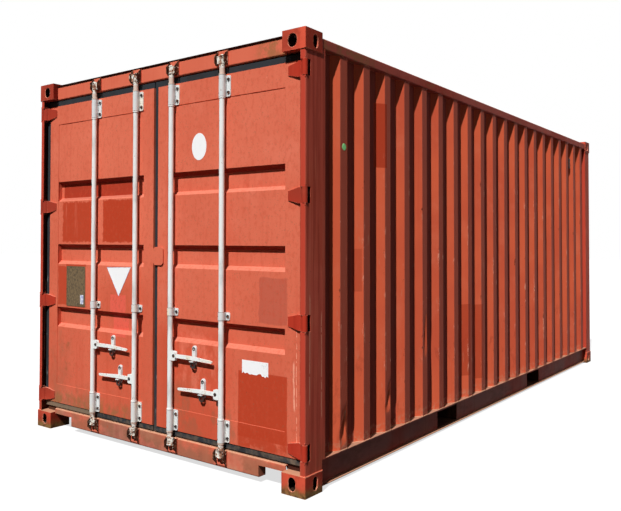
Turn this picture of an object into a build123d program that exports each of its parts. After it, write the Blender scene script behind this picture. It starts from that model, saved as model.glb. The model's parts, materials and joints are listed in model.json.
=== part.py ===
from build123d import *
import os

# A twenty foot dry freight container. The length runs along X, with the two
# door leaves at the low X end, and the container stands on Z = 0.
# All sizes are millimetres. "Right" is the low Y side, "left" the high Y side.

# Outside envelope, reached by the corner castings only
LENGTH = 6058.0
WIDTH = 2438.0
HEIGHT = 2591.0
HALF_LENGTH = LENGTH / 2
HALF_WIDTH = WIDTH / 2

# Corner castings
CASTING_LENGTH = 178.0
CASTING_WIDTH = 162.0
CASTING_HEIGHT = 118.0
CASTING_PLATE = 28.0
CASTING_WALL = 14.0
CASTING_ROUND = 6.0
APERTURE_LENGTH = 124.0
APERTURE_WIDTH = 63.5
APERTURE_FROM_END = 102.5
APERTURE_FROM_SIDE = 89.5
FACE_HOLE_HEIGHT = 79.5
FACE_HOLE_LEVEL = 63.0
BOTTOM_HOLE_WIDTH = 51.0
TOP_HOLE_WIDTH = 63.5
CASTING_INNER_X = HALF_LENGTH - CASTING_LENGTH
CASTING_INNER_Y = HALF_WIDTH - CASTING_WIDTH
CASTING_TOP = CASTING_HEIGHT
CASTING_UNDER = HEIGHT - CASTING_HEIGHT

# Faces of the frame, set back from the envelope
SIDE_SETBACK = 5.0
END_SETBACK = 6.0
SIDE_FACE = HALF_WIDTH - SIDE_SETBACK
END_FACE = HALF_LENGTH - END_SETBACK

# Bottom side rails, pressed channels with the web inside and a narrower lower flange
BOTTOM_RAIL_LEVEL = 16.0
BOTTOM_RAIL_HEIGHT = 162.0
BOTTOM_RAIL_FLANGE = 48.0
BOTTOM_RAIL_LOWER_FLANGE = 30.0
BOTTOM_RAIL_SHEET = 4.5
RAIL_BEND = 9.0
BOTTOM_RAIL_TOP = BOTTOM_RAIL_LEVEL + BOTTOM_RAIL_HEIGHT
RAIL_WEB_INNER = SIDE_FACE - BOTTOM_RAIL_FLANGE

# Top side rails, square tubes
TOP_RAIL_SIZE = 60.0
TOP_RAIL_SHEET = 3.0
TOP_RAIL_ROUND = 6.0
ROOF_SEAT = 29.0
TOP_RAIL_TOP = HEIGHT - ROOF_SEAT
TOP_RAIL_UNDER = TOP_RAIL_TOP - TOP_RAIL_SIZE

# Side walls, trapezoid corrugations
WALL_SHEET = 2.0
WALL_PITCH = 278.0
WALL_CREST = 72.0
WALL_SLOPE = 68.0
WALL_DEPTH = 36.0
WALL_SETBACK = 4.0
FIRST_CREST_FROM_END = 418.0
FIRST_CREST = -HALF_LENGTH + FIRST_CREST_FROM_END
WALL_CREST_ROOM = CASTING_INNER_X - FIRST_CREST - WALL_CREST / 2 - WALL_SLOPE
WALL_CRESTS = int(WALL_CREST_ROOM // WALL_PITCH) + 1
WALL_OUTER = SIDE_FACE - WALL_SETBACK
WALL_INNER = WALL_OUTER - WALL_DEPTH

# Door end posts: a pressed outer section with a front lip, and the stop channel
POST_SHEET = 6.0
POST_BEND = 10.0
POST_LENGTH = 212.0
POST_LIP = 33.0
STOP_LENGTH = 114.0
STOP_WIDTH = 46.0
STOP_SHEET = 8.0
POST_FRONT = -END_FACE
POST_REAR = POST_FRONT + POST_LENGTH
STOP_FACE = POST_REAR - STOP_LENGTH

# Rear end posts, one pressed section over the casting
REAR_POST_RETURN = 46.0
REAR_POST_FLANGE = 33.0

# Hinges
PIN_FROM_END = 18.0
PIN_FROM_SIDE = 16.0
PIN_RADIUS = 8.0
PIN_CLEARANCE = 0.3
KNUCKLE_RADIUS = 15.5
KNUCKLE_HEIGHT = 90.0
LUG_HEIGHT = 12.0
LUG_GAP = 1.0
LUG_REACH = 21.0
HINGE_COUNT = 4
HINGE_FROM_LEAF_BOTTOM = 53.0
HINGE_FROM_LEAF_TOP = 52.0
BLADE_REACH = 132.0
BLADE_TIP_HEIGHT = 52.0
BLADE_TIP_OUT = 5.0
BLADE_SHOULDER_REACH = 39.0
BLADE_SHOULDER_OUT = 16.5
BLADE_ROOT_REACH = 31.0
BLADE_ROOT_OUT = 28.0
BLADE_KNUCKLE_OUT = 44.0
ARM_WIDTH = 24.0
SLOT_CLEARANCE = 17.0
PIN_X = -HALF_LENGTH + PIN_FROM_END
PIN_Y = -HALF_WIDTH + PIN_FROM_SIDE

# Header and sill of the door end
FRAME_FACE_SETBACK = 44.0
HEADER_DROP = 20.0
HEADER_DEPTH = 100.0
HEADER_SHEET = 4.0
HEADER_GAP = 6.0
HEADER_HEIGHT = 103.0
SILL_LEVEL = 36.0
SILL_GAP = 7.0
SILL_HEIGHT = 109.0
SILL_DEPTH = 70.0
SILL_SHEET = 6.0
SILL_BEND = 9.0
SILL_END_HEIGHT = 39.0
SILL_END_LENGTH = 192.0
DOOR_STOP_DROP = 28.0
FRAME_FACE = -HALF_LENGTH + FRAME_FACE_SETBACK
HEADER_TOP = HEIGHT - HEADER_DROP
HEADER_BOTTOM = HEADER_TOP - HEADER_HEIGHT
SILL_BOTTOM = SILL_LEVEL
SILL_TOP = SILL_BOTTOM + SILL_HEIGHT
SILL_DEEP_HALF = CASTING_INNER_Y - SILL_END_LENGTH

# Door gaskets
GASKET_SETBACK = 6.0
GASKET_EDGE = 5.0
GASKET_HINGE_WIDTH = 43.0
GASKET_TOP_WIDTH = 40.0
GASKET_BOTTOM_WIDTH = 38.0
GASKET_CENTRE_REACH = 12.0

# Door leaves
LEAF_SETBACK = 49.0
LEAF_THICKNESS = 50.0
LEAF_HINGE_GAP = 69.0
LEAF_CENTRE_GAP = 42.0
LEAF_BOTTOM = SILL_TOP + SILL_GAP + GASKET_BOTTOM_WIDTH
LEAF_TOP = HEADER_BOTTOM - HEADER_GAP - GASKET_TOP_WIDTH
HINGE_STILE = 101.0
FREE_STILE = 92.0
BOTTOM_MEMBER = 138.0
TOP_MEMBER = 141.0
LEAF_FACE = -HALF_LENGTH + LEAF_SETBACK
LEAF_BACK = LEAF_FACE + LEAF_THICKNESS
LEAF_HINGE_EDGE = HALF_WIDTH - LEAF_HINGE_GAP
LEAF_FREE_EDGE = LEAF_CENTRE_GAP / 2
WINDOW_HINGE_SIDE = LEAF_HINGE_EDGE - HINGE_STILE
WINDOW_FREE_SIDE = LEAF_FREE_EDGE + FREE_STILE
WINDOW_BOTTOM = LEAF_BOTTOM + BOTTOM_MEMBER
WINDOW_TOP = LEAF_TOP - TOP_MEMBER
GASKET_FACE = LEAF_FACE + GASKET_SETBACK
HINGE_BOTTOM = LEAF_BOTTOM + HINGE_FROM_LEAF_BOTTOM
HINGE_TOP = LEAF_TOP - HINGE_FROM_LEAF_TOP
HINGE_PITCH = (HINGE_TOP - HINGE_BOTTOM) / (HINGE_COUNT - 1)
HINGE_LEVELS = [HINGE_BOTTOM + HINGE_PITCH * step for step in range(HINGE_COUNT)]

# Door panels, a sheet with three pressed recesses
PANEL_SHEET = 3.0
PANEL_SETBACK = 2.0
RECESS_DEPTH = 34.0
RECESS_FLOOR = 98.0
RECESS_SLOPE = 25.0
RECESS_PITCH = 469.5
RECESS_DROP = 3.0
RECESS_COUNT = 3
PANEL_FACE = LEAF_FACE + PANEL_SETBACK
RECESS_MIDDLE = (LEAF_BOTTOM + LEAF_TOP) / 2 - RECESS_DROP

# Tab on the right leaf over the middle gap
TAB_THICKNESS = 10.0
TAB_ON_LEAF = 59.0
TAB_HEIGHT = 119.0
TAB_UNDER_MIDDLE = 58.0
TAB_CLIP = 15.0
TAB_BOTTOM = RECESS_MIDDLE - TAB_UNDER_MIDDLE

# Lock rods, their cams and keepers
ROD_FROM_END = 21.0
ROD_RADIUS = 17.0
ROD_INNER_FROM_FREE_EDGE = 147.0
ROD_OUTER_FROM_HINGE_EDGE = 552.0
ROD_UNDER_SILL_TOP = 41.0
ROD_OVER_HEADER_BOTTOM = 61.0
CAM_HEIGHT = 46.0
CAM_REACH = 35.0
CAM_WIDTH = 28.0
CAM_NOSE = 9.0
COLLAR_RADIUS = 20.4
COLLAR_HEIGHT = 8.0
COLLAR_GAP = 2.0
KEEPER_CLEARANCE = 8.0
KEEPER_SHEET = 6.0
KEEPER_OUT = 42.0
KEEPER_ROD_GAP = 6.0
KEEPER_BACK_GAP = 9.0
KEEPER_FRAME_LAP = 6.0
KEEPER_LOWER_HEIGHT = 93.0
KEEPER_UPPER_HEIGHT = 93.0
KEEPER_SLANT = 18.0
ROD_X = -HALF_LENGTH + ROD_FROM_END
ROD_INNER_PLACE = LEAF_FREE_EDGE + ROD_INNER_FROM_FREE_EDGE
ROD_OUTER_PLACE = LEAF_HINGE_EDGE - ROD_OUTER_FROM_HINGE_EDGE
ROD_BOTTOM = SILL_TOP - ROD_UNDER_SILL_TOP
ROD_TOP = HEADER_BOTTOM + ROD_OVER_HEADER_BOTTOM
UPPER_KEEPER_BOTTOM = HEADER_BOTTOM + KEEPER_FRAME_LAP
UPPER_KEEPER_TOP = UPPER_KEEPER_BOTTOM + KEEPER_UPPER_HEIGHT
LOWER_KEEPER_BOTTOM = SILL_TOP - KEEPER_LOWER_HEIGHT

# Rod brackets on the leaves
BRACKET_SHEET = 3.0
BRACKET_CLEARANCE = 0.6
LONG_BRACKET_FLANGE = 28.0
SHORT_BRACKET_FLANGE = 26.0
BRACKET_FLANGE_SHEET = 6.0
BRACKET_FLANGE_ROUND = 12.0
LONG_BRACKET = 130.0
SHORT_BRACKET = 48.0
UPPER_BRACKET_DROP = 75.0
MIDDLE_BRACKET_RISE = 760.0
LOWER_BRACKET_RISE = 69.0
UPPER_BRACKET_LEVEL = LEAF_TOP - UPPER_BRACKET_DROP
MIDDLE_BRACKET_LEVEL = LEAF_BOTTOM + MIDDLE_BRACKET_RISE
LOWER_BRACKET_LEVEL = LEAF_BOTTOM + LOWER_BRACKET_RISE
SLEEVE_INNER = ROD_RADIUS + BRACKET_CLEARANCE
SLEEVE_OUTER = SLEEVE_INNER + BRACKET_SHEET
BRACKETS = [
    (UPPER_BRACKET_LEVEL, LONG_BRACKET, LONG_BRACKET_FLANGE, LEAF_FACE),
    (MIDDLE_BRACKET_LEVEL, SHORT_BRACKET, SHORT_BRACKET_FLANGE, PANEL_FACE),
    (LOWER_BRACKET_LEVEL, LONG_BRACKET, LONG_BRACKET_FLANGE, LEAF_FACE),
]

# Handles, their hubs and the retainers on the leaves
HANDLE_REACH = 350.0
HANDLE_THICKNESS = 10.0
HANDLE_HEIGHT = 24.0
HANDLE_TIP_HEIGHT = 16.0
HANDLE_BEND = 175.0
HANDLE_DROOP = 8.0
UPPER_HANDLE_RISE = 482.0
LOWER_HANDLE_RISE = 285.0
UPPER_HANDLE_LEVEL = LEAF_BOTTOM + UPPER_HANDLE_RISE
LOWER_HANDLE_LEVEL = LEAF_BOTTOM + LOWER_HANDLE_RISE
PIVOT_OFFSET = 39.0
PIVOT_RADIUS = 6.0
PIVOT_CLEARANCE = 0.4
HUB_HEIGHT = 60.0
EAR_SHEET = 4.5
EAR_GAP = 1.5
EAR_NOSE = 14.0
UPPER_RETAINER_OFFSET = 191.0
LOWER_RETAINER_OFFSET = 164.0
RETAINER_WIDTH = 34.0
RETAINER_ROUND = 16.0
RETAINER_SHEET = 6.0
RETAINER_RISE = 76.0
RETAINER_DROP = 46.0
LUG_PLATE_SHEET = 8.0
LUG_PLATE_WIDTH = 30.0
LUG_HOLE_RADIUS = 7.0
LUG_HOLE_LEVEL = 56.0
CRADLE_GAP = 6.0
CRADLE_SHEET = 6.0
CRADLE_OUT = 38.0
RING_OUTER = 21.0
RING_INNER = 11.0
RING_THICKNESS = 9.0
RING_OUT = 24.0

# Roof
ROOF_SHEET = 2.0
ROOF_PITCH = 209.0
ROOF_CREST = 91.0
ROOF_SLOPE = 14.0
ROOF_DEPTH = 20.0
ROOF_EDGE = 6.0
ROOF_FLAT_SIDE = 66.0
ROOF_END_SLOPE = 70.0
ROOF_CREST_ROOM = 2 * CASTING_INNER_X - ROOF_CREST - 2 * ROOF_SLOPE
ROOF_CRESTS = int(ROOF_CREST_ROOM // ROOF_PITCH) + 1
END_PLATE_SHEET = 4.0
END_PLATE_LIP = 10.0
END_PLATE_BEND_FROM_CASTING = 24.0
END_PLATE_BEND_RUN = 14.0

# Rear end wall and its rails
REAR_WALL_SETBACK = 15.0
REAR_WALL_DEPTH = 44.0
REAR_WALL_PITCH = 250.0
REAR_WALL_CREST = 110.0
REAR_WALL_SLOPE = 18.0
REAR_RAIL_SETBACK = 10.0
REAR_RAIL_DEPTH = 56.0
REAR_WALL_OUTER = HALF_LENGTH - REAR_WALL_SETBACK
REAR_WALL_INNER = REAR_WALL_OUTER - REAR_WALL_DEPTH
REAR_RAIL_FACE = HALF_LENGTH - REAR_RAIL_SETBACK
REAR_WALL_HALF = CASTING_INNER_Y
REAR_CREST_ROOM = 2 * REAR_WALL_HALF - REAR_WALL_CREST - 2 * REAR_WALL_SLOPE
REAR_WALL_CRESTS = int(REAR_CREST_ROOM // REAR_WALL_PITCH) + 1

# Floor, cross members and fork lift pockets
FLOOR_THICKNESS = 28.0
MEMBER_HEIGHT = 122.0
MEMBER_FLANGE = 45.0
MEMBER_SHEET = 4.0
MEMBER_PITCH = 300.0
MEMBER_COUNT = int(2 * CASTING_INNER_X // MEMBER_PITCH)
POCKET_PLACE = 1025.0
POCKET_WIDTH = 360.0
POCKET_HEIGHT = 120.0
POCKET_SHEET = 6.0
POCKET_STRAP = 300.0
MEMBER_POCKET_SPACE = 40.0
FLOOR_TOP = BOTTOM_RAIL_TOP
FLOOR_UNDER = FLOOR_TOP - FLOOR_THICKNESS

# Vents, in a hollow of each side wall near its rear end, under the roof
VENT_WIDTH = 60.0
VENT_HEIGHT = 110.0
VENT_DEPTH = 22.0
VENT_DROP = 306.0
VENT_CRESTS_AFTER = 2
VENT_EDGE = 6.0
VENT_LEVEL = HEIGHT - VENT_DROP


def block(x, y, z, mode=Mode.ADD):
    """A box between two values on each axis, in the part being built."""
    with Locations(((x[0] + x[1]) / 2, (y[0] + y[1]) / 2, (z[0] + z[1]) / 2)):
        Box(abs(x[1] - x[0]), abs(y[1] - y[0]), abs(z[1] - z[0]), mode=mode)


def mirrored(source):
    """The same piece on the other side of the container."""
    with BuildPart() as copy:
        mirror(source.part, about=Plane.XZ)
    return copy


def pressed_section(points, bend, sheet, side):
    """The section of a sheet bent along the points, which lie on its outer face."""
    with BuildSketch() as section:
        with BuildLine():
            FilletPolyline(*points, radius=bend)
            offset(amount=sheet, side=side)
        make_face()
    return section.sketch


def wave_line(start, end, first, count, pitch, crest, slope, high, low):
    """Points of a corrugated sheet's outer line, low at both ends."""
    points = [(start, low)]
    for step in range(count):
        centre = first + step * pitch
        points.append((centre - crest / 2 - slope, low))
        points.append((centre - crest / 2, high))
        points.append((centre + crest / 2, high))
        points.append((centre + crest / 2 + slope, low))
    points.append((end, low))
    return points


def thick_outline(line, sheet):
    """The closed outline of a sheet, its second face offset along the second axis."""
    return line + [(along, out + sheet) for along, out in reversed(line)]


def corner_castings(centre_level, plate_side, hole_width):
    """Four hollow castings with an aperture in each outer face."""
    with BuildPart() as castings:
        with BuildSketch(Plane.XY.offset(centre_level - CASTING_HEIGHT / 2)):
            with GridLocations(LENGTH - CASTING_LENGTH, WIDTH - CASTING_WIDTH, 2, 2):
                Rectangle(CASTING_LENGTH, CASTING_WIDTH)
        extrude(amount=CASTING_HEIGHT)
        fillet(castings.edges().filter_by(Axis.Z), CASTING_ROUND)
        cavity_height = CASTING_HEIGHT - CASTING_PLATE - CASTING_WALL
        cavity_shift = plate_side * (CASTING_WALL - CASTING_PLATE) / 2
        with Locations((0, 0, centre_level + cavity_shift)):
            with GridLocations(LENGTH - CASTING_LENGTH, WIDTH - CASTING_WIDTH, 2, 2):
                Box(
                    CASTING_LENGTH - 2 * CASTING_WALL,
                    CASTING_WIDTH - 2 * CASTING_WALL,
                    cavity_height,
                    mode=Mode.SUBTRACT,
                )
        aperture_x = LENGTH - 2 * APERTURE_FROM_END
        aperture_y = WIDTH - 2 * APERTURE_FROM_SIDE
        outer_face = centre_level + plate_side * CASTING_HEIGHT / 2
        with BuildSketch(Plane.XY.offset(outer_face)):
            with GridLocations(aperture_x, aperture_y, 2, 2):
                SlotOverall(APERTURE_LENGTH, APERTURE_WIDTH)
        extrude(amount=CASTING_PLATE, both=True, mode=Mode.SUBTRACT)
        hole_level = outer_face - plate_side * FACE_HOLE_LEVEL
        for end in (-HALF_LENGTH, HALF_LENGTH):
            with BuildSketch(Plane.YZ.offset(end)):
                with Locations((0, hole_level)):
                    with GridLocations(aperture_y, 0, 2, 1):
                        SlotOverall(FACE_HOLE_HEIGHT, hole_width, rotation=90)
            extrude(amount=CASTING_WALL, both=True, mode=Mode.SUBTRACT)
        for side in (-HALF_WIDTH, HALF_WIDTH):
            with BuildSketch(Plane.XZ.offset(side)):
                with Locations((0, hole_level)):
                    with GridLocations(aperture_x, 0, 2, 1):
                        SlotOverall(FACE_HOLE_HEIGHT, BOTTOM_HOLE_WIDTH, rotation=90)
            extrude(amount=CASTING_WALL, both=True, mode=Mode.SUBTRACT)
    return castings


def door_post():
    """Right door post: lip, side plate and stop channel, cut for the hinges."""
    outer = [
        (POST_FRONT, -SIDE_FACE + POST_LIP),
        (POST_FRONT, -SIDE_FACE),
        (POST_REAR, -SIDE_FACE),
        (POST_REAR, -SIDE_FACE + STOP_WIDTH),
    ]
    lug_half = KNUCKLE_HEIGHT / 2 + LUG_GAP + LUG_HEIGHT
    slot_end = PIN_X + ARM_WIDTH + SLOT_CLEARANCE
    with BuildPart() as post:
        with BuildSketch(Plane.XY.offset(CASTING_TOP)):
            add(pressed_section(outer, POST_BEND, POST_SHEET, Side.LEFT))
            with BuildLine():
                Polyline(
                    (STOP_FACE, -SIDE_FACE + POST_SHEET),
                    (STOP_FACE, -SIDE_FACE + STOP_WIDTH),
                    (POST_REAR, -SIDE_FACE + STOP_WIDTH),
                    (POST_REAR, -SIDE_FACE + STOP_WIDTH - STOP_SHEET),
                    (STOP_FACE + STOP_SHEET, -SIDE_FACE + STOP_WIDTH - STOP_SHEET),
                    (STOP_FACE + STOP_SHEET, -SIDE_FACE + POST_SHEET),
                    close=True,
                )
            make_face()
        extrude(amount=TOP_RAIL_UNDER - CASTING_TOP)
        beside_casting = (-CASTING_INNER_X, POST_REAR + POST_SHEET)
        over_casting = (-HALF_LENGTH, -CASTING_INNER_X)
        width = (-HALF_WIDTH, -SIDE_FACE + STOP_WIDTH + POST_SHEET)
        block(beside_casting, width, (0, BOTTOM_RAIL_TOP), mode=Mode.SUBTRACT)
        block(over_casting, width, (CASTING_UNDER, HEIGHT), mode=Mode.SUBTRACT)
        corner = (-SIDE_FACE, -SIDE_FACE + POST_LIP)
        plate = (-SIDE_FACE, -SIDE_FACE + POST_SHEET)
        lug_end = PIN_X + LUG_REACH
        for level in HINGE_LEVELS:
            height = (level - lug_half, level + lug_half)
            block((POST_FRONT, slot_end), corner, height, mode=Mode.SUBTRACT)
            for side in (-1, 1):
                lug = (level + side * (KNUCKLE_HEIGHT / 2 + LUG_GAP), level + side * lug_half)
                block((POST_FRONT, lug_end), corner, lug)
                block((lug_end, slot_end), plate, lug)
            with Locations((PIN_X, PIN_Y, level)):
                Cylinder(PIN_RADIUS + PIN_CLEARANCE, 2 * lug_half, mode=Mode.SUBTRACT)
    return post


def hinge_pins():
    """Four pins of the right door post."""
    pin_length = KNUCKLE_HEIGHT + 2 * (LUG_GAP + LUG_HEIGHT)
    with BuildPart() as pins:
        with Locations(*[(PIN_X, PIN_Y, level) for level in HINGE_LEVELS]):
            Cylinder(PIN_RADIUS, pin_length)
    return pins


def rear_post():
    """Right rear post, one pressed section that closes the wall ends."""
    outline = [
        (CASTING_INNER_X, -SIDE_FACE + REAR_POST_RETURN),
        (CASTING_INNER_X, -SIDE_FACE),
        (END_FACE, -SIDE_FACE),
        (END_FACE, -REAR_WALL_HALF),
        (END_FACE - REAR_POST_FLANGE, -REAR_WALL_HALF),
    ]
    with BuildPart() as post:
        with BuildSketch(Plane.XY.offset(CASTING_TOP)):
            add(pressed_section(outline, POST_BEND, POST_SHEET, Side.LEFT))
        extrude(amount=CASTING_UNDER - CASTING_TOP)
    return post


def door_header():
    """Pressed channel over the doors, with the stop that the gasket meets."""
    rear = FRAME_FACE + HEADER_DEPTH
    section = [
        (rear, HEADER_TOP),
        (FRAME_FACE, HEADER_TOP),
        (FRAME_FACE, HEADER_BOTTOM),
        (rear, HEADER_BOTTOM),
    ]
    with BuildPart() as header:
        with BuildSketch(Plane.XZ.offset(-CASTING_INNER_Y)):
            add(pressed_section(section, SILL_BEND, HEADER_SHEET, Side.LEFT))
            with BuildLine():
                Polyline(
                    (STOP_FACE, HEADER_BOTTOM - DOOR_STOP_DROP),
                    (STOP_FACE + STOP_SHEET, HEADER_BOTTOM - DOOR_STOP_DROP),
                    (STOP_FACE + STOP_SHEET, HEADER_BOTTOM + HEADER_SHEET),
                    (STOP_FACE, HEADER_BOTTOM + HEADER_SHEET),
                    close=True,
                )
            make_face()
        extrude(amount=2 * CASTING_INNER_Y)
    return header


def door_sill():
    """Pressed channel under the doors, shallow beside the castings."""
    rear = FRAME_FACE + SILL_DEPTH
    section = [
        (rear, SILL_TOP),
        (FRAME_FACE, SILL_TOP),
        (FRAME_FACE, SILL_BOTTOM),
        (rear, SILL_BOTTOM),
    ]
    shallow_bottom = SILL_TOP - SILL_END_HEIGHT
    with BuildPart() as sill:
        with BuildSketch(Plane.XZ.offset(-CASTING_INNER_Y)):
            add(pressed_section(section, SILL_BEND, SILL_SHEET, Side.LEFT))
            with BuildLine():
                Polyline(
                    (STOP_FACE, SILL_TOP - SILL_SHEET),
                    (STOP_FACE + STOP_SHEET, SILL_TOP - SILL_SHEET),
                    (STOP_FACE + STOP_SHEET, FLOOR_TOP),
                    (STOP_FACE, FLOOR_TOP),
                    close=True,
                )
            make_face()
        extrude(amount=2 * CASTING_INNER_Y)
        for side in (-1, 1):
            beside = (side * SILL_DEEP_HALF, side * CASTING_INNER_Y)
            below = (SILL_BOTTOM, shallow_bottom)
            block((FRAME_FACE, rear), beside, below, mode=Mode.SUBTRACT)
            end_plate = (side * (SILL_DEEP_HALF - SILL_SHEET), side * SILL_DEEP_HALF)
            inside = (FRAME_FACE + SILL_SHEET, rear)
            block(inside, end_plate, (SILL_BOTTOM + SILL_SHEET, SILL_TOP - SILL_SHEET))
    return sill


def cam_keepers(frame_edge, far_edge, rod_end):
    """Open fronted keepers, a base plate with a cheek before the cam's nose and one behind the rod."""
    rise = 1 if far_edge < frame_edge else -1
    front = FRAME_FACE - KEEPER_OUT
    cheek = [
        (FRAME_FACE, far_edge),
        (FRAME_FACE, frame_edge),
        (front + KEEPER_SLANT, frame_edge),
        (front, frame_edge - rise * KEEPER_SLANT),
        (front, far_edge + rise * KEEPER_SLANT * 2),
        (FRAME_FACE - KEEPER_SHEET, far_edge),
    ]
    plate_end = rod_end - rise * KEEPER_ROD_GAP
    with BuildPart() as keepers:
        for place, way, level in RODS.values():
            before = place + way * (CAM_REACH + KEEPER_CLEARANCE)
            behind = place - way * (ROD_RADIUS + KEEPER_BACK_GAP)
            for inner, out in ((before, way), (behind, -way)):
                with BuildSketch(Plane.XZ.offset(-(inner + out * KEEPER_SHEET / 2))):
                    with BuildLine():
                        Polyline(*cheek, close=True)
                    make_face()
                extrude(amount=KEEPER_SHEET / 2, both=True)
            depth = (FRAME_FACE - KEEPER_SHEET, FRAME_FACE)
            block(depth, (before, behind), (far_edge, plate_end))
    return keepers


def bottom_side_rail():
    """Right bottom rail, cut through for the fork lift pockets."""
    section = [
        (-RAIL_WEB_INNER - BOTTOM_RAIL_LOWER_FLANGE, BOTTOM_RAIL_LEVEL),
        (-RAIL_WEB_INNER, BOTTOM_RAIL_LEVEL),
        (-RAIL_WEB_INNER, BOTTOM_RAIL_TOP),
        (-SIDE_FACE, BOTTOM_RAIL_TOP),
    ]
    with BuildPart() as rail:
        with BuildSketch(Plane.YZ.offset(-CASTING_INNER_X)):
            add(pressed_section(section, RAIL_BEND, BOTTOM_RAIL_SHEET, Side.LEFT))
        extrude(amount=2 * CASTING_INNER_X)
        for place in (-POCKET_PLACE, POCKET_PLACE):
            opening = (place - POCKET_WIDTH / 2, place + POCKET_WIDTH / 2)
            level = BOTTOM_RAIL_LEVEL + POCKET_SHEET
            web = (-RAIL_WEB_INNER - BOTTOM_RAIL_FLANGE, -RAIL_WEB_INNER)
            block(opening, web, (level, level + POCKET_HEIGHT), mode=Mode.SUBTRACT)
    return rail


def top_side_rail():
    """Right top rail, a square tube between the castings."""
    with BuildPart() as rail:
        with BuildSketch(Plane.YZ.offset(-CASTING_INNER_X)):
            with Locations((-SIDE_FACE + TOP_RAIL_SIZE / 2, TOP_RAIL_TOP - TOP_RAIL_SIZE / 2)):
                RectangleRounded(TOP_RAIL_SIZE, TOP_RAIL_SIZE, TOP_RAIL_ROUND)
                inside = TOP_RAIL_SIZE - 2 * TOP_RAIL_SHEET
                RectangleRounded(
                    inside, inside, TOP_RAIL_ROUND - TOP_RAIL_SHEET, mode=Mode.SUBTRACT
                )
        extrude(amount=2 * CASTING_INNER_X)
    return rail


def side_wall():
    """Right side wall, a corrugated sheet from post to post."""
    line = wave_line(
        POST_REAR,
        CASTING_INNER_X,
        FIRST_CREST,
        WALL_CRESTS,
        WALL_PITCH,
        WALL_CREST,
        WALL_SLOPE,
        -WALL_OUTER,
        -WALL_INNER,
    )
    with BuildPart() as wall:
        with BuildSketch(Plane.XY.offset(BOTTOM_RAIL_TOP)):
            with BuildLine():
                Polyline(*thick_outline(line, WALL_SHEET), close=True)
            make_face()
        extrude(amount=TOP_RAIL_UNDER - BOTTOM_RAIL_TOP)
    return wall


def side_vents():
    """One covered vent high in a hollow of each side wall."""
    place = FIRST_CREST + (WALL_CRESTS - VENT_CRESTS_AFTER - 0.5) * WALL_PITCH
    with BuildPart() as vents:
        for side in (-1, 1):
            with BuildSketch(Plane.XZ.offset(-side * WALL_INNER)):
                with Locations((place, VENT_LEVEL)):
                    RectangleRounded(VENT_WIDTH, VENT_HEIGHT, VENT_EDGE)
            extrude(amount=-side * VENT_DEPTH)
    return vents


def roof_crest(foot):
    """One pressed crest across the roof, its foot at the given height, slanted all round."""
    width = 2 * (SIDE_FACE - ROOF_EDGE - ROOF_FLAT_SIDE)
    with BuildPart() as crest:
        with BuildSketch(Plane.XY.offset(foot)):
            Rectangle(ROOF_CREST + 2 * ROOF_SLOPE, width)
        with BuildSketch(Plane.XY.offset(foot + ROOF_DEPTH)):
            Rectangle(ROOF_CREST, width - 2 * ROOF_END_SLOPE)
        loft(ruled=True)
    return crest.part


def roof_panel():
    """Roof sheet with pressed crests that end before the side rails."""
    half = SIDE_FACE - ROOF_EDGE
    sheet = (TOP_RAIL_TOP, TOP_RAIL_TOP + ROOF_SHEET)
    with BuildPart() as roof:
        block((-CASTING_INNER_X, CASTING_INNER_X), (-half, half), sheet)
        with GridLocations(ROOF_PITCH, 0, ROOF_CRESTS, 1):
            add(roof_crest(sheet[1]))
            add(roof_crest(sheet[0]), mode=Mode.SUBTRACT)
    return roof


def door_end_roof_plate():
    """Plate over the header, stepped down to the roof sheet."""
    bend = -CASTING_INNER_X - END_PLATE_BEND_FROM_CASTING
    line = [
        (FRAME_FACE - END_PLATE_LIP, HEADER_TOP),
        (bend, HEADER_TOP),
        (bend + END_PLATE_BEND_RUN, TOP_RAIL_TOP),
        (-CASTING_INNER_X, TOP_RAIL_TOP),
    ]
    with BuildPart() as plate:
        with BuildSketch(Plane.XZ.offset(-CASTING_INNER_Y)):
            with BuildLine():
                Polyline(*thick_outline(line, END_PLATE_SHEET), close=True)
            make_face()
        extrude(amount=2 * CASTING_INNER_Y)
    return plate


def rear_end_roof_plate():
    """Flat plate over the rear top rail."""
    with BuildPart() as plate:
        depth = (CASTING_INNER_X, END_FACE)
        width = (-CASTING_INNER_Y, CASTING_INNER_Y)
        block(depth, width, (TOP_RAIL_TOP, TOP_RAIL_TOP + END_PLATE_SHEET))
    return plate


def rear_top_rail():
    """Square tube between the rear top castings."""
    centre_x = REAR_RAIL_FACE - TOP_RAIL_SIZE / 2
    with BuildPart() as rail:
        with BuildSketch(Plane.XZ.offset(-CASTING_INNER_Y)):
            with Locations((centre_x, TOP_RAIL_TOP - TOP_RAIL_SIZE / 2)):
                RectangleRounded(TOP_RAIL_SIZE, TOP_RAIL_SIZE, TOP_RAIL_ROUND)
                inside = TOP_RAIL_SIZE - 2 * TOP_RAIL_SHEET
                RectangleRounded(
                    inside, inside, TOP_RAIL_ROUND - TOP_RAIL_SHEET, mode=Mode.SUBTRACT
                )
        extrude(amount=2 * CASTING_INNER_Y)
    return rail


def rear_bottom_rail():
    """Channel between the rear bottom castings."""
    inner = REAR_RAIL_FACE - REAR_RAIL_DEPTH
    section = [
        (inner, BOTTOM_RAIL_LEVEL),
        (REAR_RAIL_FACE, BOTTOM_RAIL_LEVEL),
        (REAR_RAIL_FACE, BOTTOM_RAIL_TOP),
        (inner, BOTTOM_RAIL_TOP),
    ]
    with BuildPart() as rail:
        with BuildSketch(Plane.XZ.offset(-CASTING_INNER_Y)):
            add(pressed_section(section, RAIL_BEND, BOTTOM_RAIL_SHEET, Side.LEFT))
        extrude(amount=2 * CASTING_INNER_Y)
    return rail


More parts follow.
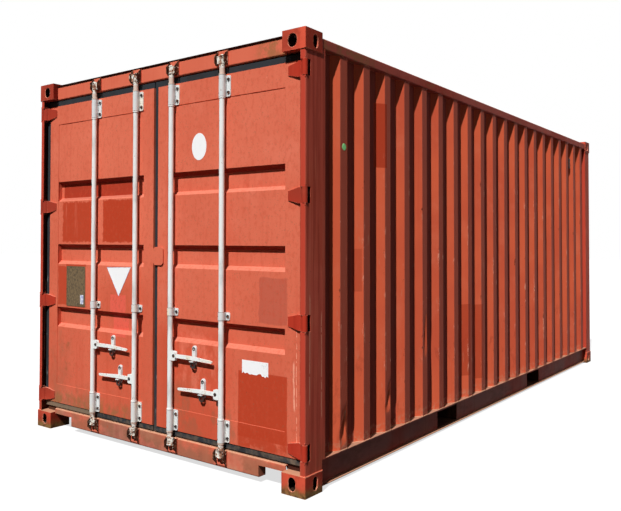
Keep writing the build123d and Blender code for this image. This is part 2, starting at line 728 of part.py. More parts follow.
def rear_end_wall():
    """Rear wall, a corrugated sheet between the rear posts."""
    line = wave_line(
        -REAR_WALL_HALF,
        REAR_WALL_HALF,
        -(REAR_WALL_CRESTS - 1) * REAR_WALL_PITCH / 2,
        REAR_WALL_CRESTS,
        REAR_WALL_PITCH,
        REAR_WALL_CREST,
        REAR_WALL_SLOPE,
        REAR_WALL_OUTER,
        REAR_WALL_INNER,
    )
    outline = [(out, along) for along, out in thick_outline(line, -WALL_SHEET)]
    with BuildPart() as wall:
        with BuildSketch(Plane.XY.offset(BOTTOM_RAIL_TOP)):
            with BuildLine():
                Polyline(*outline, close=True)
            make_face()
        extrude(amount=TOP_RAIL_UNDER - BOTTOM_RAIL_TOP)
    return wall


def floor_boards():
    """Plywood floor on the cross members."""
    with BuildPart() as floor:
        front = STOP_FACE + STOP_SHEET
        rear = REAR_RAIL_FACE - REAR_RAIL_DEPTH
        block((front, rear), (-RAIL_WEB_INNER, RAIL_WEB_INNER), (FLOOR_UNDER, FLOOR_TOP))
    return floor


def floor_cross_members():
    """Channels across the container, left out where the pockets pass."""
    first = -(MEMBER_COUNT - 1) * MEMBER_PITCH / 2
    pocket_half = POCKET_WIDTH / 2 + POCKET_SHEET + MEMBER_POCKET_SPACE
    bottom = FLOOR_UNDER - MEMBER_HEIGHT
    with BuildPart() as members:
        for step in range(MEMBER_COUNT):
            place = first + step * MEMBER_PITCH
            if abs(abs(place) - POCKET_PLACE) < pocket_half:
                continue
            section = [
                (place + MEMBER_FLANGE, FLOOR_UNDER),
                (place, FLOOR_UNDER),
                (place, bottom),
                (place + MEMBER_FLANGE, bottom),
            ]
            with BuildSketch(Plane.XZ.offset(-RAIL_WEB_INNER)):
                add(pressed_section(section, RAIL_BEND, MEMBER_SHEET, Side.LEFT))
            extrude(amount=2 * RAIL_WEB_INNER)
    return members


def fork_pockets():
    """Two ducts across the container, with a strap under each mouth."""
    inner_bottom = BOTTOM_RAIL_LEVEL + POCKET_SHEET
    inner_top = inner_bottom + POCKET_HEIGHT
    with BuildPart() as pockets:
        for place in (-POCKET_PLACE, POCKET_PLACE):
            left = place - POCKET_WIDTH / 2
            right = place + POCKET_WIDTH / 2
            with BuildSketch(Plane.XZ.offset(-RAIL_WEB_INNER)):
                with BuildLine():
                    Polyline(
                        (left - POCKET_SHEET, BOTTOM_RAIL_LEVEL),
                        (left, BOTTOM_RAIL_LEVEL),
                        (left, inner_top),
                        (right, inner_top),
                        (right, BOTTOM_RAIL_LEVEL),
                        (right + POCKET_SHEET, BOTTOM_RAIL_LEVEL),
                        (right + POCKET_SHEET, inner_top + POCKET_SHEET),
                        (left - POCKET_SHEET, inner_top + POCKET_SHEET),
                        close=True,
                    )
                make_face()
            extrude(amount=2 * RAIL_WEB_INNER)
            for side in (-1, 1):
                mouth = (side * RAIL_WEB_INNER, side * (RAIL_WEB_INNER - POCKET_STRAP))
                block((left, right), mouth, (BOTTOM_RAIL_LEVEL, inner_bottom))
    return pockets


def door_frame():
    """Right leaf frame: two stiles with a top and a bottom member."""
    with BuildPart() as frame:
        with BuildSketch(Plane.YZ.offset(LEAF_FACE)):
            with BuildLine():
                Polyline(
                    (-LEAF_HINGE_EDGE, LEAF_BOTTOM),
                    (-LEAF_FREE_EDGE, LEAF_BOTTOM),
                    (-LEAF_FREE_EDGE, LEAF_TOP),
                    (-LEAF_HINGE_EDGE, LEAF_TOP),
                    close=True,
                )
            make_face()
            with BuildLine():
                Polyline(
                    (-WINDOW_HINGE_SIDE, WINDOW_BOTTOM),
                    (-WINDOW_FREE_SIDE, WINDOW_BOTTOM),
                    (-WINDOW_FREE_SIDE, WINDOW_TOP),
                    (-WINDOW_HINGE_SIDE, WINDOW_TOP),
                    close=True,
                )
            make_face(mode=Mode.SUBTRACT)
        extrude(amount=LEAF_THICKNESS)
    return frame


def door_panel():
    """Right leaf panel, a sheet with three pressed recesses."""
    line = [(WINDOW_BOTTOM, PANEL_FACE)]
    for step in range(RECESS_COUNT):
        centre = RECESS_MIDDLE + (step - (RECESS_COUNT - 1) / 2) * RECESS_PITCH
        half_floor = RECESS_FLOOR / 2
        line.append((centre - half_floor - RECESS_SLOPE, PANEL_FACE))
        line.append((centre - half_floor, PANEL_FACE + RECESS_DEPTH))
        line.append((centre + half_floor, PANEL_FACE + RECESS_DEPTH))
        line.append((centre + half_floor + RECESS_SLOPE, PANEL_FACE))
    line.append((WINDOW_TOP, PANEL_FACE))
    outline = [(depth, level) for level, depth in thick_outline(line, PANEL_SHEET)]
    with BuildPart() as panel:
        with BuildSketch(Plane.XZ.offset(WINDOW_FREE_SIDE)):
            with BuildLine():
                Polyline(*outline, close=True)
            make_face()
        extrude(amount=WINDOW_HINGE_SIDE - WINDOW_FREE_SIDE)
    return panel


def gasket_outline(free_reach):
    """Corners of a right leaf's gasket, outer edge, in Y and Z."""
    hinge_side = -LEAF_HINGE_EDGE - GASKET_HINGE_WIDTH
    low = LEAF_BOTTOM - GASKET_BOTTOM_WIDTH
    high = LEAF_TOP + GASKET_TOP_WIDTH
    return [(hinge_side, low), (free_reach, low), (free_reach, high), (hinge_side, high)]


def door_gasket(free_reach):
    """Gasket round a right leaf, out to free_reach at the free edge."""
    with BuildPart() as gasket:
        with BuildSketch(Plane.YZ.offset(GASKET_FACE)):
            with BuildLine():
                Polyline(*gasket_outline(free_reach), close=True)
            make_face()
        extrude(amount=LEAF_BACK - GASKET_FACE)
        front = gasket.faces().sort_by(Axis.X)[0]
        fillet(front.edges(), GASKET_EDGE)
        leaf_y = (-LEAF_HINGE_EDGE, -LEAF_FREE_EDGE)
        block((GASKET_FACE, LEAF_BACK), leaf_y, (LEAF_BOTTOM, LEAF_TOP), mode=Mode.SUBTRACT)
    return gasket


def door_hinges():
    """Four hinge blades of the right leaf, wedges that thin out from knuckle to tip."""
    near = -LEAF_HINGE_EDGE
    tip = PIN_Y + BLADE_REACH
    half = KNUCKLE_HEIGHT / 2
    tip_half = BLADE_TIP_HEIGHT / 2
    blade_front = LEAF_FACE - BLADE_KNUCKLE_OUT
    with BuildPart() as hinges:
        for level in HINGE_LEVELS:
            with BuildSketch(Plane.YZ.offset(blade_front)):
                with BuildLine():
                    Polyline(
                        (PIN_Y, level - half),
                        (near, level - half),
                        (tip, level - tip_half),
                        (tip, level + tip_half),
                        (near, level + half),
                        (PIN_Y, level + half),
                        close=True,
                    )
                make_face()
            extrude(amount=BLADE_KNUCKLE_OUT)
        with BuildSketch(Plane.XY.offset(LEAF_BOTTOM)):
            with BuildLine():
                Polyline(
                    (blade_front, PIN_Y),
                    (LEAF_FACE - BLADE_ROOT_OUT, PIN_Y + BLADE_ROOT_REACH),
                    (LEAF_FACE - BLADE_SHOULDER_OUT, PIN_Y + BLADE_SHOULDER_REACH),
                    (LEAF_FACE - BLADE_TIP_OUT, tip),
                    (blade_front, tip),
                    close=True,
                )
            make_face()
        extrude(amount=LEAF_TOP - LEAF_BOTTOM, mode=Mode.SUBTRACT)
        for level in HINGE_LEVELS:
            block((PIN_X, LEAF_FACE), (PIN_Y, PIN_Y + ARM_WIDTH), (level - half, level + half))
            with Locations((PIN_X, PIN_Y, level)):
                Cylinder(KNUCKLE_RADIUS, KNUCKLE_HEIGHT)
                Cylinder(PIN_RADIUS + PIN_CLEARANCE, KNUCKLE_HEIGHT, mode=Mode.SUBTRACT)
    return hinges


def rod_brackets(places):
    """Sleeves that hold the rods to a leaf, each with a bolted flange."""
    with BuildPart() as brackets:
        for place in places:
            for level, height, flange, seat in BRACKETS:
                with BuildSketch(Plane.XY.offset(level - height / 2)):
                    with Locations((ROD_X, place)):
                        Circle(SLEEVE_OUTER)
                    with Locations(((ROD_X + seat) / 2, place)):
                        Rectangle(seat - ROD_X, 2 * SLEEVE_OUTER)
                    with Locations((ROD_X, place)):
                        Circle(SLEEVE_INNER, mode=Mode.SUBTRACT)
                extrude(amount=height)
                with BuildSketch(Plane.YZ.offset(seat)):
                    with Locations((place - (SLEEVE_OUTER + flange) / 2, level)):
                        RectangleRounded(SLEEVE_OUTER + flange, height, BRACKET_FLANGE_ROUND)
                extrude(amount=-BRACKET_FLANGE_SHEET)
    return brackets


def handle_retainer(place, level):
    """Base plate with a pierced lug over the handle and an open cradle under it."""
    face = PANEL_FACE - RETAINER_SHEET
    plate_level = level + (RETAINER_RISE - RETAINER_DROP) / 2
    with BuildPart() as retainer:
        with BuildSketch(Plane.YZ.offset(face)):
            with Locations((place, plate_level)):
                RectangleRounded(RETAINER_WIDTH, RETAINER_RISE + RETAINER_DROP, RETAINER_ROUND)
        extrude(amount=RETAINER_SHEET)
        with BuildSketch(Plane.YZ.offset(face)):
            with Locations((place, level + LUG_HOLE_LEVEL / 2)):
                SlotOverall(LUG_HOLE_LEVEL + LUG_PLATE_WIDTH, LUG_PLATE_WIDTH, rotation=90)
            with Locations((place, level + LUG_HOLE_LEVEL)):
                Circle(LUG_HOLE_RADIUS, mode=Mode.SUBTRACT)
        extrude(amount=-LUG_PLATE_SHEET)
        cradle_top = level - HANDLE_HEIGHT / 2 - CRADLE_GAP
        cradle_y = (place - LUG_PLATE_WIDTH / 2, place + LUG_PLATE_WIDTH / 2)
        cradle_x = (LEAF_FACE - CRADLE_OUT, PANEL_FACE)
        block(cradle_x, cradle_y, (cradle_top - CRADLE_SHEET, cradle_top))
    return retainer


def retainers(places):
    """The two retainers of a leaf."""
    with BuildPart() as both:
        for place, level in places:
            add(handle_retainer(place, level).part)
    return both


def seal_rings(places):
    """A steel ring under each cradle."""
    with BuildPart() as rings:
        for place, level in places:
            shelf = level - HANDLE_HEIGHT / 2 - CRADLE_GAP - CRADLE_SHEET
            with BuildSketch(Plane.YZ.offset(LEAF_FACE - RING_OUT)):
                with Locations((place, shelf - RING_OUTER)):
                    Circle(RING_OUTER)
                    Circle(RING_INNER, mode=Mode.SUBTRACT)
            extrude(amount=RING_THICKNESS)
    return rings


def lock_rod(place, way, handle_level):
    """A rod with a cam at each end and the hub that carries its handle."""
    pivot_y = place + way * PIVOT_OFFSET
    ear_inner = HANDLE_THICKNESS / 2 + EAR_GAP
    with BuildPart() as rod:
        with Locations((ROD_X, place, (ROD_BOTTOM + ROD_TOP) / 2)):
            Cylinder(ROD_RADIUS, ROD_TOP - ROD_BOTTOM)
        for low in (ROD_BOTTOM, ROD_TOP - CAM_HEIGHT):
            with BuildSketch(Plane.XY.offset(low)):
                with Locations((ROD_X, place + way * CAM_REACH / 2)):
                    RectangleRounded(CAM_WIDTH, CAM_REACH, CAM_NOSE)
                with Locations((ROD_X, place)):
                    Circle(ROD_RADIUS)
            extrude(amount=CAM_HEIGHT)
        for level in (UPPER_BRACKET_LEVEL, LOWER_BRACKET_LEVEL):
            for side in (-1, 1):
                offset_z = side * (LONG_BRACKET / 2 + COLLAR_GAP + COLLAR_HEIGHT / 2)
                with Locations((ROD_X, place, level + offset_z)):
                    Cylinder(COLLAR_RADIUS, COLLAR_HEIGHT)
        for side in (-1, 1):
            ear = ROD_X + side * (ear_inner + EAR_SHEET / 2)
            with BuildSketch(Plane.YZ.offset(ear)):
                with Locations(((place + pivot_y) / 2, handle_level)):
                    Rectangle(PIVOT_OFFSET, HUB_HEIGHT)
                with Locations((pivot_y, handle_level)):
                    RectangleRounded(2 * EAR_NOSE, HUB_HEIGHT, EAR_NOSE / 2)
            extrude(amount=EAR_SHEET / 2, both=True)
        with Locations(Location((ROD_X, pivot_y, handle_level), (0, 90, 0))):
            Cylinder(PIVOT_RADIUS, 2 * (ear_inner + EAR_SHEET))
    return rod


def handle(place, way, level):
    """A flat forged handle, bent a little down towards its tip."""
    pivot = place + way * PIVOT_OFFSET
    bend = place + way * HANDLE_BEND
    tip = place + way * HANDLE_REACH
    half = HANDLE_HEIGHT / 2
    tip_half = HANDLE_TIP_HEIGHT / 2
    with BuildPart() as bar:
        with BuildSketch(Plane.YZ.offset(ROD_X - HANDLE_THICKNESS / 2)):
            with BuildLine():
                Polyline(
                    (pivot, level - half),
                    (bend, level - half),
                    (tip, level - HANDLE_DROOP - tip_half),
                    (tip, level - HANDLE_DROOP + tip_half),
                    (bend, level + half),
                    (pivot, level + half),
                    close=True,
                )
            make_face()
            with Locations((pivot, level)):
                Circle(half)
            with Locations((tip, level - HANDLE_DROOP)):
                Circle(tip_half)
            with Locations((pivot, level)):
                Circle(PIVOT_RADIUS + PIVOT_CLEARANCE, mode=Mode.SUBTRACT)
        extrude(amount=HANDLE_THICKNESS)
    return bar


def door_overlap_tab():
    """Plate with clipped corners at the free edge of the right leaf."""
    width = TAB_ON_LEAF + LEAF_FREE_EDGE + GASKET_CENTRE_REACH
    centre = GASKET_CENTRE_REACH - width / 2
    with BuildPart() as tab:
        with BuildSketch(Plane.YZ.offset(LEAF_FACE)):
            with Locations((centre, TAB_BOTTOM + TAB_HEIGHT / 2)):
                clipped = Rectangle(width, TAB_HEIGHT)
            chamfer(clipped.vertices(), TAB_CLIP)
        extrude(amount=-TAB_THICKNESS)
    return tab


# On each leaf the rod at higher Y carries the upper handle, which points to low Y,
# and the other rod carries the lower handle, which points back to high Y.
RODS = {
    "right_inner": (-ROD_INNER_PLACE, -1, UPPER_HANDLE_LEVEL),
    "right_outer": (-ROD_OUTER_PLACE, 1, LOWER_HANDLE_LEVEL),
    "left_outer": (ROD_OUTER_PLACE, -1, UPPER_HANDLE_LEVEL),
    "left_inner": (ROD_INNER_PLACE, 1, LOWER_HANDLE_LEVEL),
}
RIGHT_RETAINERS = [
    (-ROD_INNER_PLACE - UPPER_RETAINER_OFFSET, UPPER_HANDLE_LEVEL),
    (-ROD_OUTER_PLACE + LOWER_RETAINER_OFFSET, LOWER_HANDLE_LEVEL),
]
LEFT_RETAINERS = [
    (ROD_OUTER_PLACE - UPPER_RETAINER_OFFSET, UPPER_HANDLE_LEVEL),
    (ROD_INNER_PLACE + LOWER_RETAINER_OFFSET, LOWER_HANDLE_LEVEL),
]

right_door_post = door_post()
right_hinge_pins = hinge_pins()
right_rear_post = rear_post()
right_top_rail = top_side_rail()
right_bottom_rail = bottom_side_rail()
right_wall = side_wall()
right_frame = door_frame()
right_panel = door_panel()
right_hinges = door_hinges()
left_gasket_source = door_gasket(-LEAF_FREE_EDGE)

pieces = {
    "bottom_corner_castings": corner_castings(CASTING_HEIGHT / 2, -1, BOTTOM_HOLE_WIDTH),
    "top_corner_castings": corner_castings(HEIGHT - CASTING_HEIGHT / 2, 1, TOP_HOLE_WIDTH),
    "right_door_post": right_door_post,
    "left_door_post": mirrored(right_door_post),
    "right_hinge_pins": right_hinge_pins,
    "left_hinge_pins": mirrored(right_hinge_pins),
    "right_rear_post": right_rear_post,
    "left_rear_post": mirrored(right_rear_post),
    "door_header": door_header(),
    "door_sill": door_sill(),
    "upper_cam_keepers": cam_keepers(UPPER_KEEPER_BOTTOM, UPPER_KEEPER_TOP, ROD_TOP),
    "lower_cam_keepers": cam_keepers(SILL_TOP, LOWER_KEEPER_BOTTOM, ROD_BOTTOM),
    "right_top_rail": right_top_rail,
    "left_top_rail": mirrored(right_top_rail),
    "right_bottom_rail": right_bottom_rail,
    "left_bottom_rail": mirrored(right_bottom_rail),
    "right_side_wall": right_wall,
    "left_side_wall": mirrored(right_wall),
    "side_vents": side_vents(),
    "roof_panel": roof_panel(),
    "door_end_roof_plate": door_end_roof_plate(),
    "rear_end_roof_plate": rear_end_roof_plate(),
    "rear_top_rail": rear_top_rail(),
    "rear_bottom_rail": rear_bottom_rail(),
    "rear_end_wall": rear_end_wall(),
    "floor_boards": floor_boards(),
    "floor_cross_members": floor_cross_members(),
    "fork_pockets": fork_pockets(),
    "right_door_frame": right_frame,
    "left_door_frame": mirrored(right_frame),
    "right_door_panel": right_panel,
    "left_door_panel": mirrored(right_panel),
    "right_door_gasket": door_gasket(GASKET_CENTRE_REACH),
    "left_door_gasket": mirrored(left_gasket_source),
    "right_door_hinges": right_hinges,
    "left_door_hinges": mirrored(right_hinges),
    "right_rod_brackets": rod_brackets([-ROD_OUTER_PLACE, -ROD_INNER_PLACE]),
    "left_rod_brackets": rod_brackets([ROD_INNER_PLACE, ROD_OUTER_PLACE]),
    "right_handle_retainers": retainers(RIGHT_RETAINERS),
    "left_handle_retainers": retainers(LEFT_RETAINERS),
    "right_seal_rings": seal_rings(RIGHT_RETAINERS),
    "left_seal_rings": seal_rings(LEFT_RETAINERS),
    "door_overlap_tab": door_overlap_tab(),
}
for name, (place, way, level) in RODS.items():
    pieces[f"{name}_lock_rod"] = lock_rod(place, way, level)
    pieces[f"{name}_handle"] = handle(place, way, level)

os.makedirs("parts", exist_ok=True)
for name, piece in pieces.items():
    piece.part.label = name
    export_step(piece.part, f"parts/{name}.step")
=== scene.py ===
# Shipping container: paint, wear, welds, bolts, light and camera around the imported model
import json
import math
import random

import bmesh
import bpy
from mathutils import Matrix, Vector


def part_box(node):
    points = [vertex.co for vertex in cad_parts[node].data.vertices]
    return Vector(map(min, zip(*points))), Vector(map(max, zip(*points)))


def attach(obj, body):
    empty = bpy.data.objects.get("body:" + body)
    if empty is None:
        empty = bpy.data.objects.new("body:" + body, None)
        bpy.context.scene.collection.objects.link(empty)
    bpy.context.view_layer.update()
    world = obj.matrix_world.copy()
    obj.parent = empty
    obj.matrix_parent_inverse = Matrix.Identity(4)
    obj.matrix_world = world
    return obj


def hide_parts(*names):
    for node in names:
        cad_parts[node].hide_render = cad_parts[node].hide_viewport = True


random.seed(7)

# Camera
CAMERA_PLACE = (-6.3177, -3.4188, 1.4001)
CAMERA_AZIMUTH = -49.834
CAMERA_ELEVATION = 1.267
CAMERA_ROLL = 0.208
PICTURE_WIDTH = 621
PICTURE_HEIGHT = 511
FOCAL_PIXELS = 718.7
VIEW_CENTRE = (225.0, 225.83)
SENSOR_WIDTH = 36.0
VIEW_END = 300.0

# Light: a low sun, a weak sky, and a broad lamp for the sides that the sun misses
# Each lamp's light comes from this way, with this strength and width in degrees
LAMPS = {
    "sun": ((-0.637, -0.141, 0.758), 4.6, 0.9),
    "rear_lamp": ((0.6, 0.62, 0.5), 2.6, 40.0),
}
SKY_COLOUR = (0.84, 0.9, 1.0)
SKY_STRENGTH = 0.032
BACKGROUND_LEVEL = 1.0

# Floor under the container
FLOOR_HALF = 60.0
FLOOR_GLOW = 0.7
FLOOR_LEVEL = 0.3
FLOOR_BOUNCE = 0.05


def srgb(red, green, blue):
    """The linear colour of a display colour given from 0 to 255."""
    shares = [value / 255 for value in (red, green, blue)]
    curve = [s / 12.92 if s <= 0.04045 else ((s + 0.055) / 1.055) ** 2.4 for s in shares]
    return (*curve, 1.0)


# Colours
DOOR_RED = srgb(221, 113, 86)
DOOR_PINK = srgb(227, 124, 99)
DOOR_DULL = srgb(215, 106, 80)
DOOR_DEEP = srgb(196, 78, 52)
DOOR_DUST_SHEEN = srgb(212, 130, 108)
PATCH_PINK = srgb(232, 98, 82)
PATCH_BROWN = srgb(158, 74, 62)
FRAME_RED = srgb(196, 84, 62)
FRAME_DEEP = srgb(158, 58, 42)
POST_SIDE = srgb(206, 90, 72)
POST_FRONT = srgb(186, 66, 48)
HINGE_RED = srgb(182, 56, 38)
CASTING_RED = srgb(224, 91, 66)
SILL_RED = srgb(172, 106, 88)
RAIL_DUSTY = srgb(150, 92, 84)
TOP_RAIL_RED = srgb(178, 84, 72)
WALL_RED = srgb(232, 105, 70)
WALL_DULL = srgb(220, 96, 66)
WALL_PALE = srgb(236, 122, 90)
WALL_CREST_SHADE = srgb(170, 84, 70)
CASTING_SIDE_SHADE = srgb(150, 96, 96)
WALL_HOLLOW_SHADE = srgb(116, 42, 38)
ROOF_RED = srgb(146, 74, 56)
FRESH_RED = srgb(184, 64, 38)
DARK_RED = srgb(168, 54, 34)
UNDER_BROWN = srgb(66, 36, 30)
RUST_DARK = srgb(66, 34, 24)
RUST_LIGHT = srgb(150, 92, 60)
EDGE_PALE = srgb(232, 140, 112)
OCHRE = srgb(134, 104, 62)
DIRT_BROWN = srgb(136, 96, 70)
DUST_PALE = srgb(240, 160, 134)
DUST_BEIGE = srgb(206, 158, 126)
BLACK_BROWN = srgb(22, 12, 10)
ROD_WHITE = srgb(234, 236, 233)
ROD_GREY = srgb(198, 198, 194)
SLEEVE_GREY = srgb(216, 219, 218)
CREAM = srgb(232, 222, 200)
MARK_WHITE = srgb(244, 244, 244)
MARK_BLUE = srgb(170, 176, 208)
MARK_GREEN = srgb(160, 255, 165)
RUBBER_GREY = srgb(50, 54, 58)
RUBBER_DUSTY = srgb(132, 112, 92)
STEEL_DARK = srgb(46, 42, 42)
PLATE_BROWN = srgb(118, 98, 70)
PLATE_DARK = srgb(78, 66, 50)
PLY_BROWN = srgb(150, 108, 74)
PLY_DARK = srgb(104, 72, 50)
PLASTIC_DARK = srgb(64, 46, 38)
SHADE_RED = srgb(150, 70, 50)

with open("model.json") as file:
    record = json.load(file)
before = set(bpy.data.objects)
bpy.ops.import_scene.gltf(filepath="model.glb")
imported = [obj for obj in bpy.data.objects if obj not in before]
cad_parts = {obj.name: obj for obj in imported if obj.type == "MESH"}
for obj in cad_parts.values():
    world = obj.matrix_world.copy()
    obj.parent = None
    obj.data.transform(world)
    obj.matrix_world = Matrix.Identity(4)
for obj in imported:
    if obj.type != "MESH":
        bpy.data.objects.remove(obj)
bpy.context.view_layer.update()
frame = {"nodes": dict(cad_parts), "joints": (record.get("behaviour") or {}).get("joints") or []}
NODES = frame["nodes"]
JOINTS = {joint["name"]: joint for joint in frame["joints"]}
SIDES = {"right": -1, "left": 1}

# How far across the door from each rod its handle's retainer is, in metres
RODS = {"right_inner": -0.191, "right_outer": 0.164, "left_outer": -0.191, "left_inner": 0.164}

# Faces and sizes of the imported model, in metres
LOW, HIGH = 0, 1
HALF_LENGTH, HALF_WIDTH, CASTING_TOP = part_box("bottom_corner_castings")[HIGH]
CASTING_UNDER, CONTAINER_TOP = [corner[2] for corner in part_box("top_corner_castings")]
CASTING_X = HALF_LENGTH - 0.178
CASTING_Y = HALF_WIDTH - 0.162
CASTING_HOLLOW = {"|x|": (CASTING_X + 0.012, HALF_LENGTH - 0.011),
                  "|y|": (CASTING_Y + 0.012, HALF_WIDTH - 0.011)}
POST_FACE, POST_REAR = [corner[0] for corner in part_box("right_door_post")]
POST_LIP = 0.033
SIDE_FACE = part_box("left_door_post")[HIGH][1]
LEAF_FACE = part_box("right_door_frame")[LOW][0]
PANEL_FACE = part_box("right_door_panel")[LOW][0]
WINDOW = [(box[1], box[2]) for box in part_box("left_door_panel")]
HEADER_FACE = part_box("door_header")[LOW][0]
WALL_SHEET = 0.002
WALL_OUTER, WALL_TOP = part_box("left_side_wall")[HIGH][1:]
WALL_BACK, WALL_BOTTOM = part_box("left_side_wall")[LOW][1:]
WALL_INNER = WALL_BACK + WALL_SHEET
WALL_FIRST_CREST = -2.611
WALL_PITCH = 0.278
WALL_CREST_HALF = 0.036
WALL_SLOPE = 0.068
WALL_CRESTS = 20
ROD_X = JOINTS["right_inner_rod_turn"]["pos_m"][0]
ROD_BOTTOM, ROD_TOP = [corner[2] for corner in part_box("right_inner_lock_rod")]

# Materials
EVEN = (1, 1, 1)
SHIFT_SHARES = (1.0, 0.7, 0.4)
PAINT_ROUGHNESS = 0.6
PAINT_SPECULAR = 0.05
BEVEL_SAMPLES = 6
EDGE_TURN = (0.985, 0.86)
RAGGED_EDGE = 0.05
BEND_REACH = (0.018, 0.004)
SCUFFED_LEVELS = (0.25, 1.95)


class Nodes:
    """A node tree that grows by short calls."""

    def __init__(self, tree):
        self.tree = tree

    def feed(self, socket, value):
        """Sets a socket, or links it where the value is another node's socket."""
        if isinstance(value, bpy.types.NodeSocket):
            self.tree.links.new(value, socket)
        else:
            socket.default_value = value

    def add(self, kind, inputs, **settings):
        """A node with its settings made and its inputs fed."""
        node = self.tree.nodes.new(kind)
        for key, value in settings.items():
            setattr(node, key, value)
        for key, value in inputs.items():
            self.feed(node.inputs[key], value)
        return node

    def math(self, operation, first, second=0.0):
        return self.add("ShaderNodeMath", {0: first, 1: second}, operation=operation).outputs[0]

    def mix(self, amount, under, over, kind="MIX"):
        inputs = {0: amount, 6: under, 7: over}
        return self.add("ShaderNodeMix", inputs, data_type="RGBA", blend_type=kind).outputs[2]


class Shade(Nodes):
    """One procedural material, in the object's own metres."""

    def __init__(self, name, roughness, specular):
        self.material = bpy.data.materials.new(name)
        self.material.use_nodes = True
        super().__init__(self.material.node_tree)
        self.surface = self.tree.nodes["Principled BSDF"].inputs
        self.surface["Roughness"].default_value = roughness
        self.surface["Specular IOR Level"].default_value = specular
        source = self.add("ShaderNodeTexCoord", {})
        self.place = source.outputs["Object"]
        self.axis = self.split(self.place)
        self.facing = self.split(source.outputs["Normal"])

    def split(self, vector):
        return dict(zip("xyz", self.add("ShaderNodeSeparateXYZ", {0: vector}).outputs))

    def times(self, *values):
        product = values[0]
        for value in values[1:]:
            product = self.math("MULTIPLY", product, value)
        return product

    def fade(self, value, start, end):
        """0 before start and 1 after end, smooth between them."""
        inputs = {"Value": value, "From Min": start, "From Max": end}
        return self.add("ShaderNodeMapRange", inputs, interpolation_type="SMOOTHSTEP").outputs["Result"]

    def inside(self, value, low, high, edge):
        return self.times(
            self.fade(value, low - edge, low + edge),
            self.fade(value, high + edge, high - edge),
        )

    def noise(self, scale, stretch=EVEN, detail=4.0, roughness=0.6, shift=0.0):
        """Noise whose features are about 1 / scale metres wide."""
        moved = [shift * share for share in SHIFT_SHARES]
        inputs = {"Vector": self.place, "Scale": stretch, "Location": moved}
        place = self.add("ShaderNodeMapping", inputs).outputs[0]
        inputs = {"Vector": place, "Scale": scale, "Detail": detail, "Roughness": roughness}
        return self.add("ShaderNodeTexNoise", inputs).outputs["Fac"]

    def clouds(self, scale, cut, width, **look):
        """Places of noise: 0 under the cut, and 1 once the noise is above it by the width."""
        return self.fade(self.noise(scale, **look), cut, cut + width)

    def swayed(self, value, noise, reach):
        """The value moved up and down with the noise, by half the reach at most."""
        return self.math("ADD", value, self.times(self.math("SUBTRACT", noise, 0.5), reach))

    def box(self, ranges, edge=0.004, ragged=0.0, scale=14.0):
        """1 inside the ranges {axis: (low, high)}; an axis written |y| is taken without its sign."""
        parts = []
        for name, (low, high) in ranges.items():
            value = self.axis[name.strip("|")]
            if name.startswith("|"):
                value = self.math("ABSOLUTE", value)
            if ragged:
                value = self.swayed(value, self.noise(scale, detail=6.0, shift=low), ragged)
            parts.append(self.inside(value, low, high, edge))
        return self.times(*parts)

    def edges(self, radius):
        """Bright where the surface turns within the radius, as an edge does."""
        bevel = self.add("ShaderNodeBevel", {"Radius": radius}, samples=BEVEL_SAMPLES)
        flat = self.add("ShaderNodeNewGeometry", {})
        inputs = {0: bevel.outputs[0], 1: flat.outputs["Normal"]}
        dot = self.add("ShaderNodeVectorMath", inputs, operation="DOT_PRODUCT")
        return self.fade(dot.outputs["Value"], *EDGE_TURN)

    def layered(self, colour, layers):
        for layer in layers:
            colour = layer(self, colour)
        return colour

    def surfaced(self, colour, relief, strength, distance):
        """The material, once its colour and its relief are in place."""
        inputs = {"Height": relief, "Strength": strength, "Distance": distance}
        bump = self.add("ShaderNodeBump", inputs)
        self.feed(self.surface["Base Color"], colour)
        self.feed(self.surface["Normal"], bump.outputs[0])
        return self.material


# Layers: each takes a shade and the colour so far, and gives the colour with the layer on it
def tinted(cover, tint, amount=1.0, kind="MIX"):
    """A layer of one tint, where its cover says and as strong as the amount."""
    return lambda shade, colour: shade.mix(shade.times(cover(shade), amount), colour, tint, kind)


def patch(ranges, tint, amount=1.0, ragged=0.0, scale=14.0, edge=0.003):
    """A painted place with straight or ragged edges."""
    soft = edge + ragged * RAGGED_EDGE
    return tinted(lambda shade: shade.box(ranges, soft, ragged, scale), tint, amount)


def area(y0, y1, z0, z1):
    """The ranges of a place as it is seen from the door end."""
    return {"y": (y0, y1), "z": (z0, z1)}


def fading(start, end, tint, amount, scale=0.0, stretch=EVEN):
    """A tint that grows from one level to another, broken by noise where a scale is given."""

    def cover(shade):
        share = shade.fade(shade.axis["z"], start, end)
        if scale:
            broken = shade.clouds(scale, 0.4, 0.24, stretch=stretch, detail=6.0, shift=start)
            share = shade.times(share, broken)
        return share

    return tinted(cover, tint, amount)


def facing(axis, start, end, tint, amount, kind="MIX"):
    """A tint on the faces that point along an axis."""
    return tinted(lambda shade: shade.fade(shade.facing[axis], start, end), tint, amount, kind)


def smudge(ranges, tint, amount, scale=9.0, cut=0.5, stretch=EVEN, edge=0.08):
    """Cloudy dirt inside soft ranges."""
    shift = next(iter(ranges.values()))[LOW]
    look = {"stretch": stretch, "detail": 6.0, "roughness": 0.65, "shift": shift}
    return tinted(
        lambda shade: shade.times(shade.box(ranges, edge), shade.clouds(scale, cut, 0.14, **look)),
        tint, amount)


def bands(tint, amount, scale, stretch=EVEN, cut=0.5, width=0.2, kind="MIX", shift=0.0):
    """Runs or bands all over, from stretched noise."""
    look = {"stretch": stretch, "shift": shift}
    return tinted(lambda shade: shade.clouds(scale, cut, width, **look), tint, amount, kind)


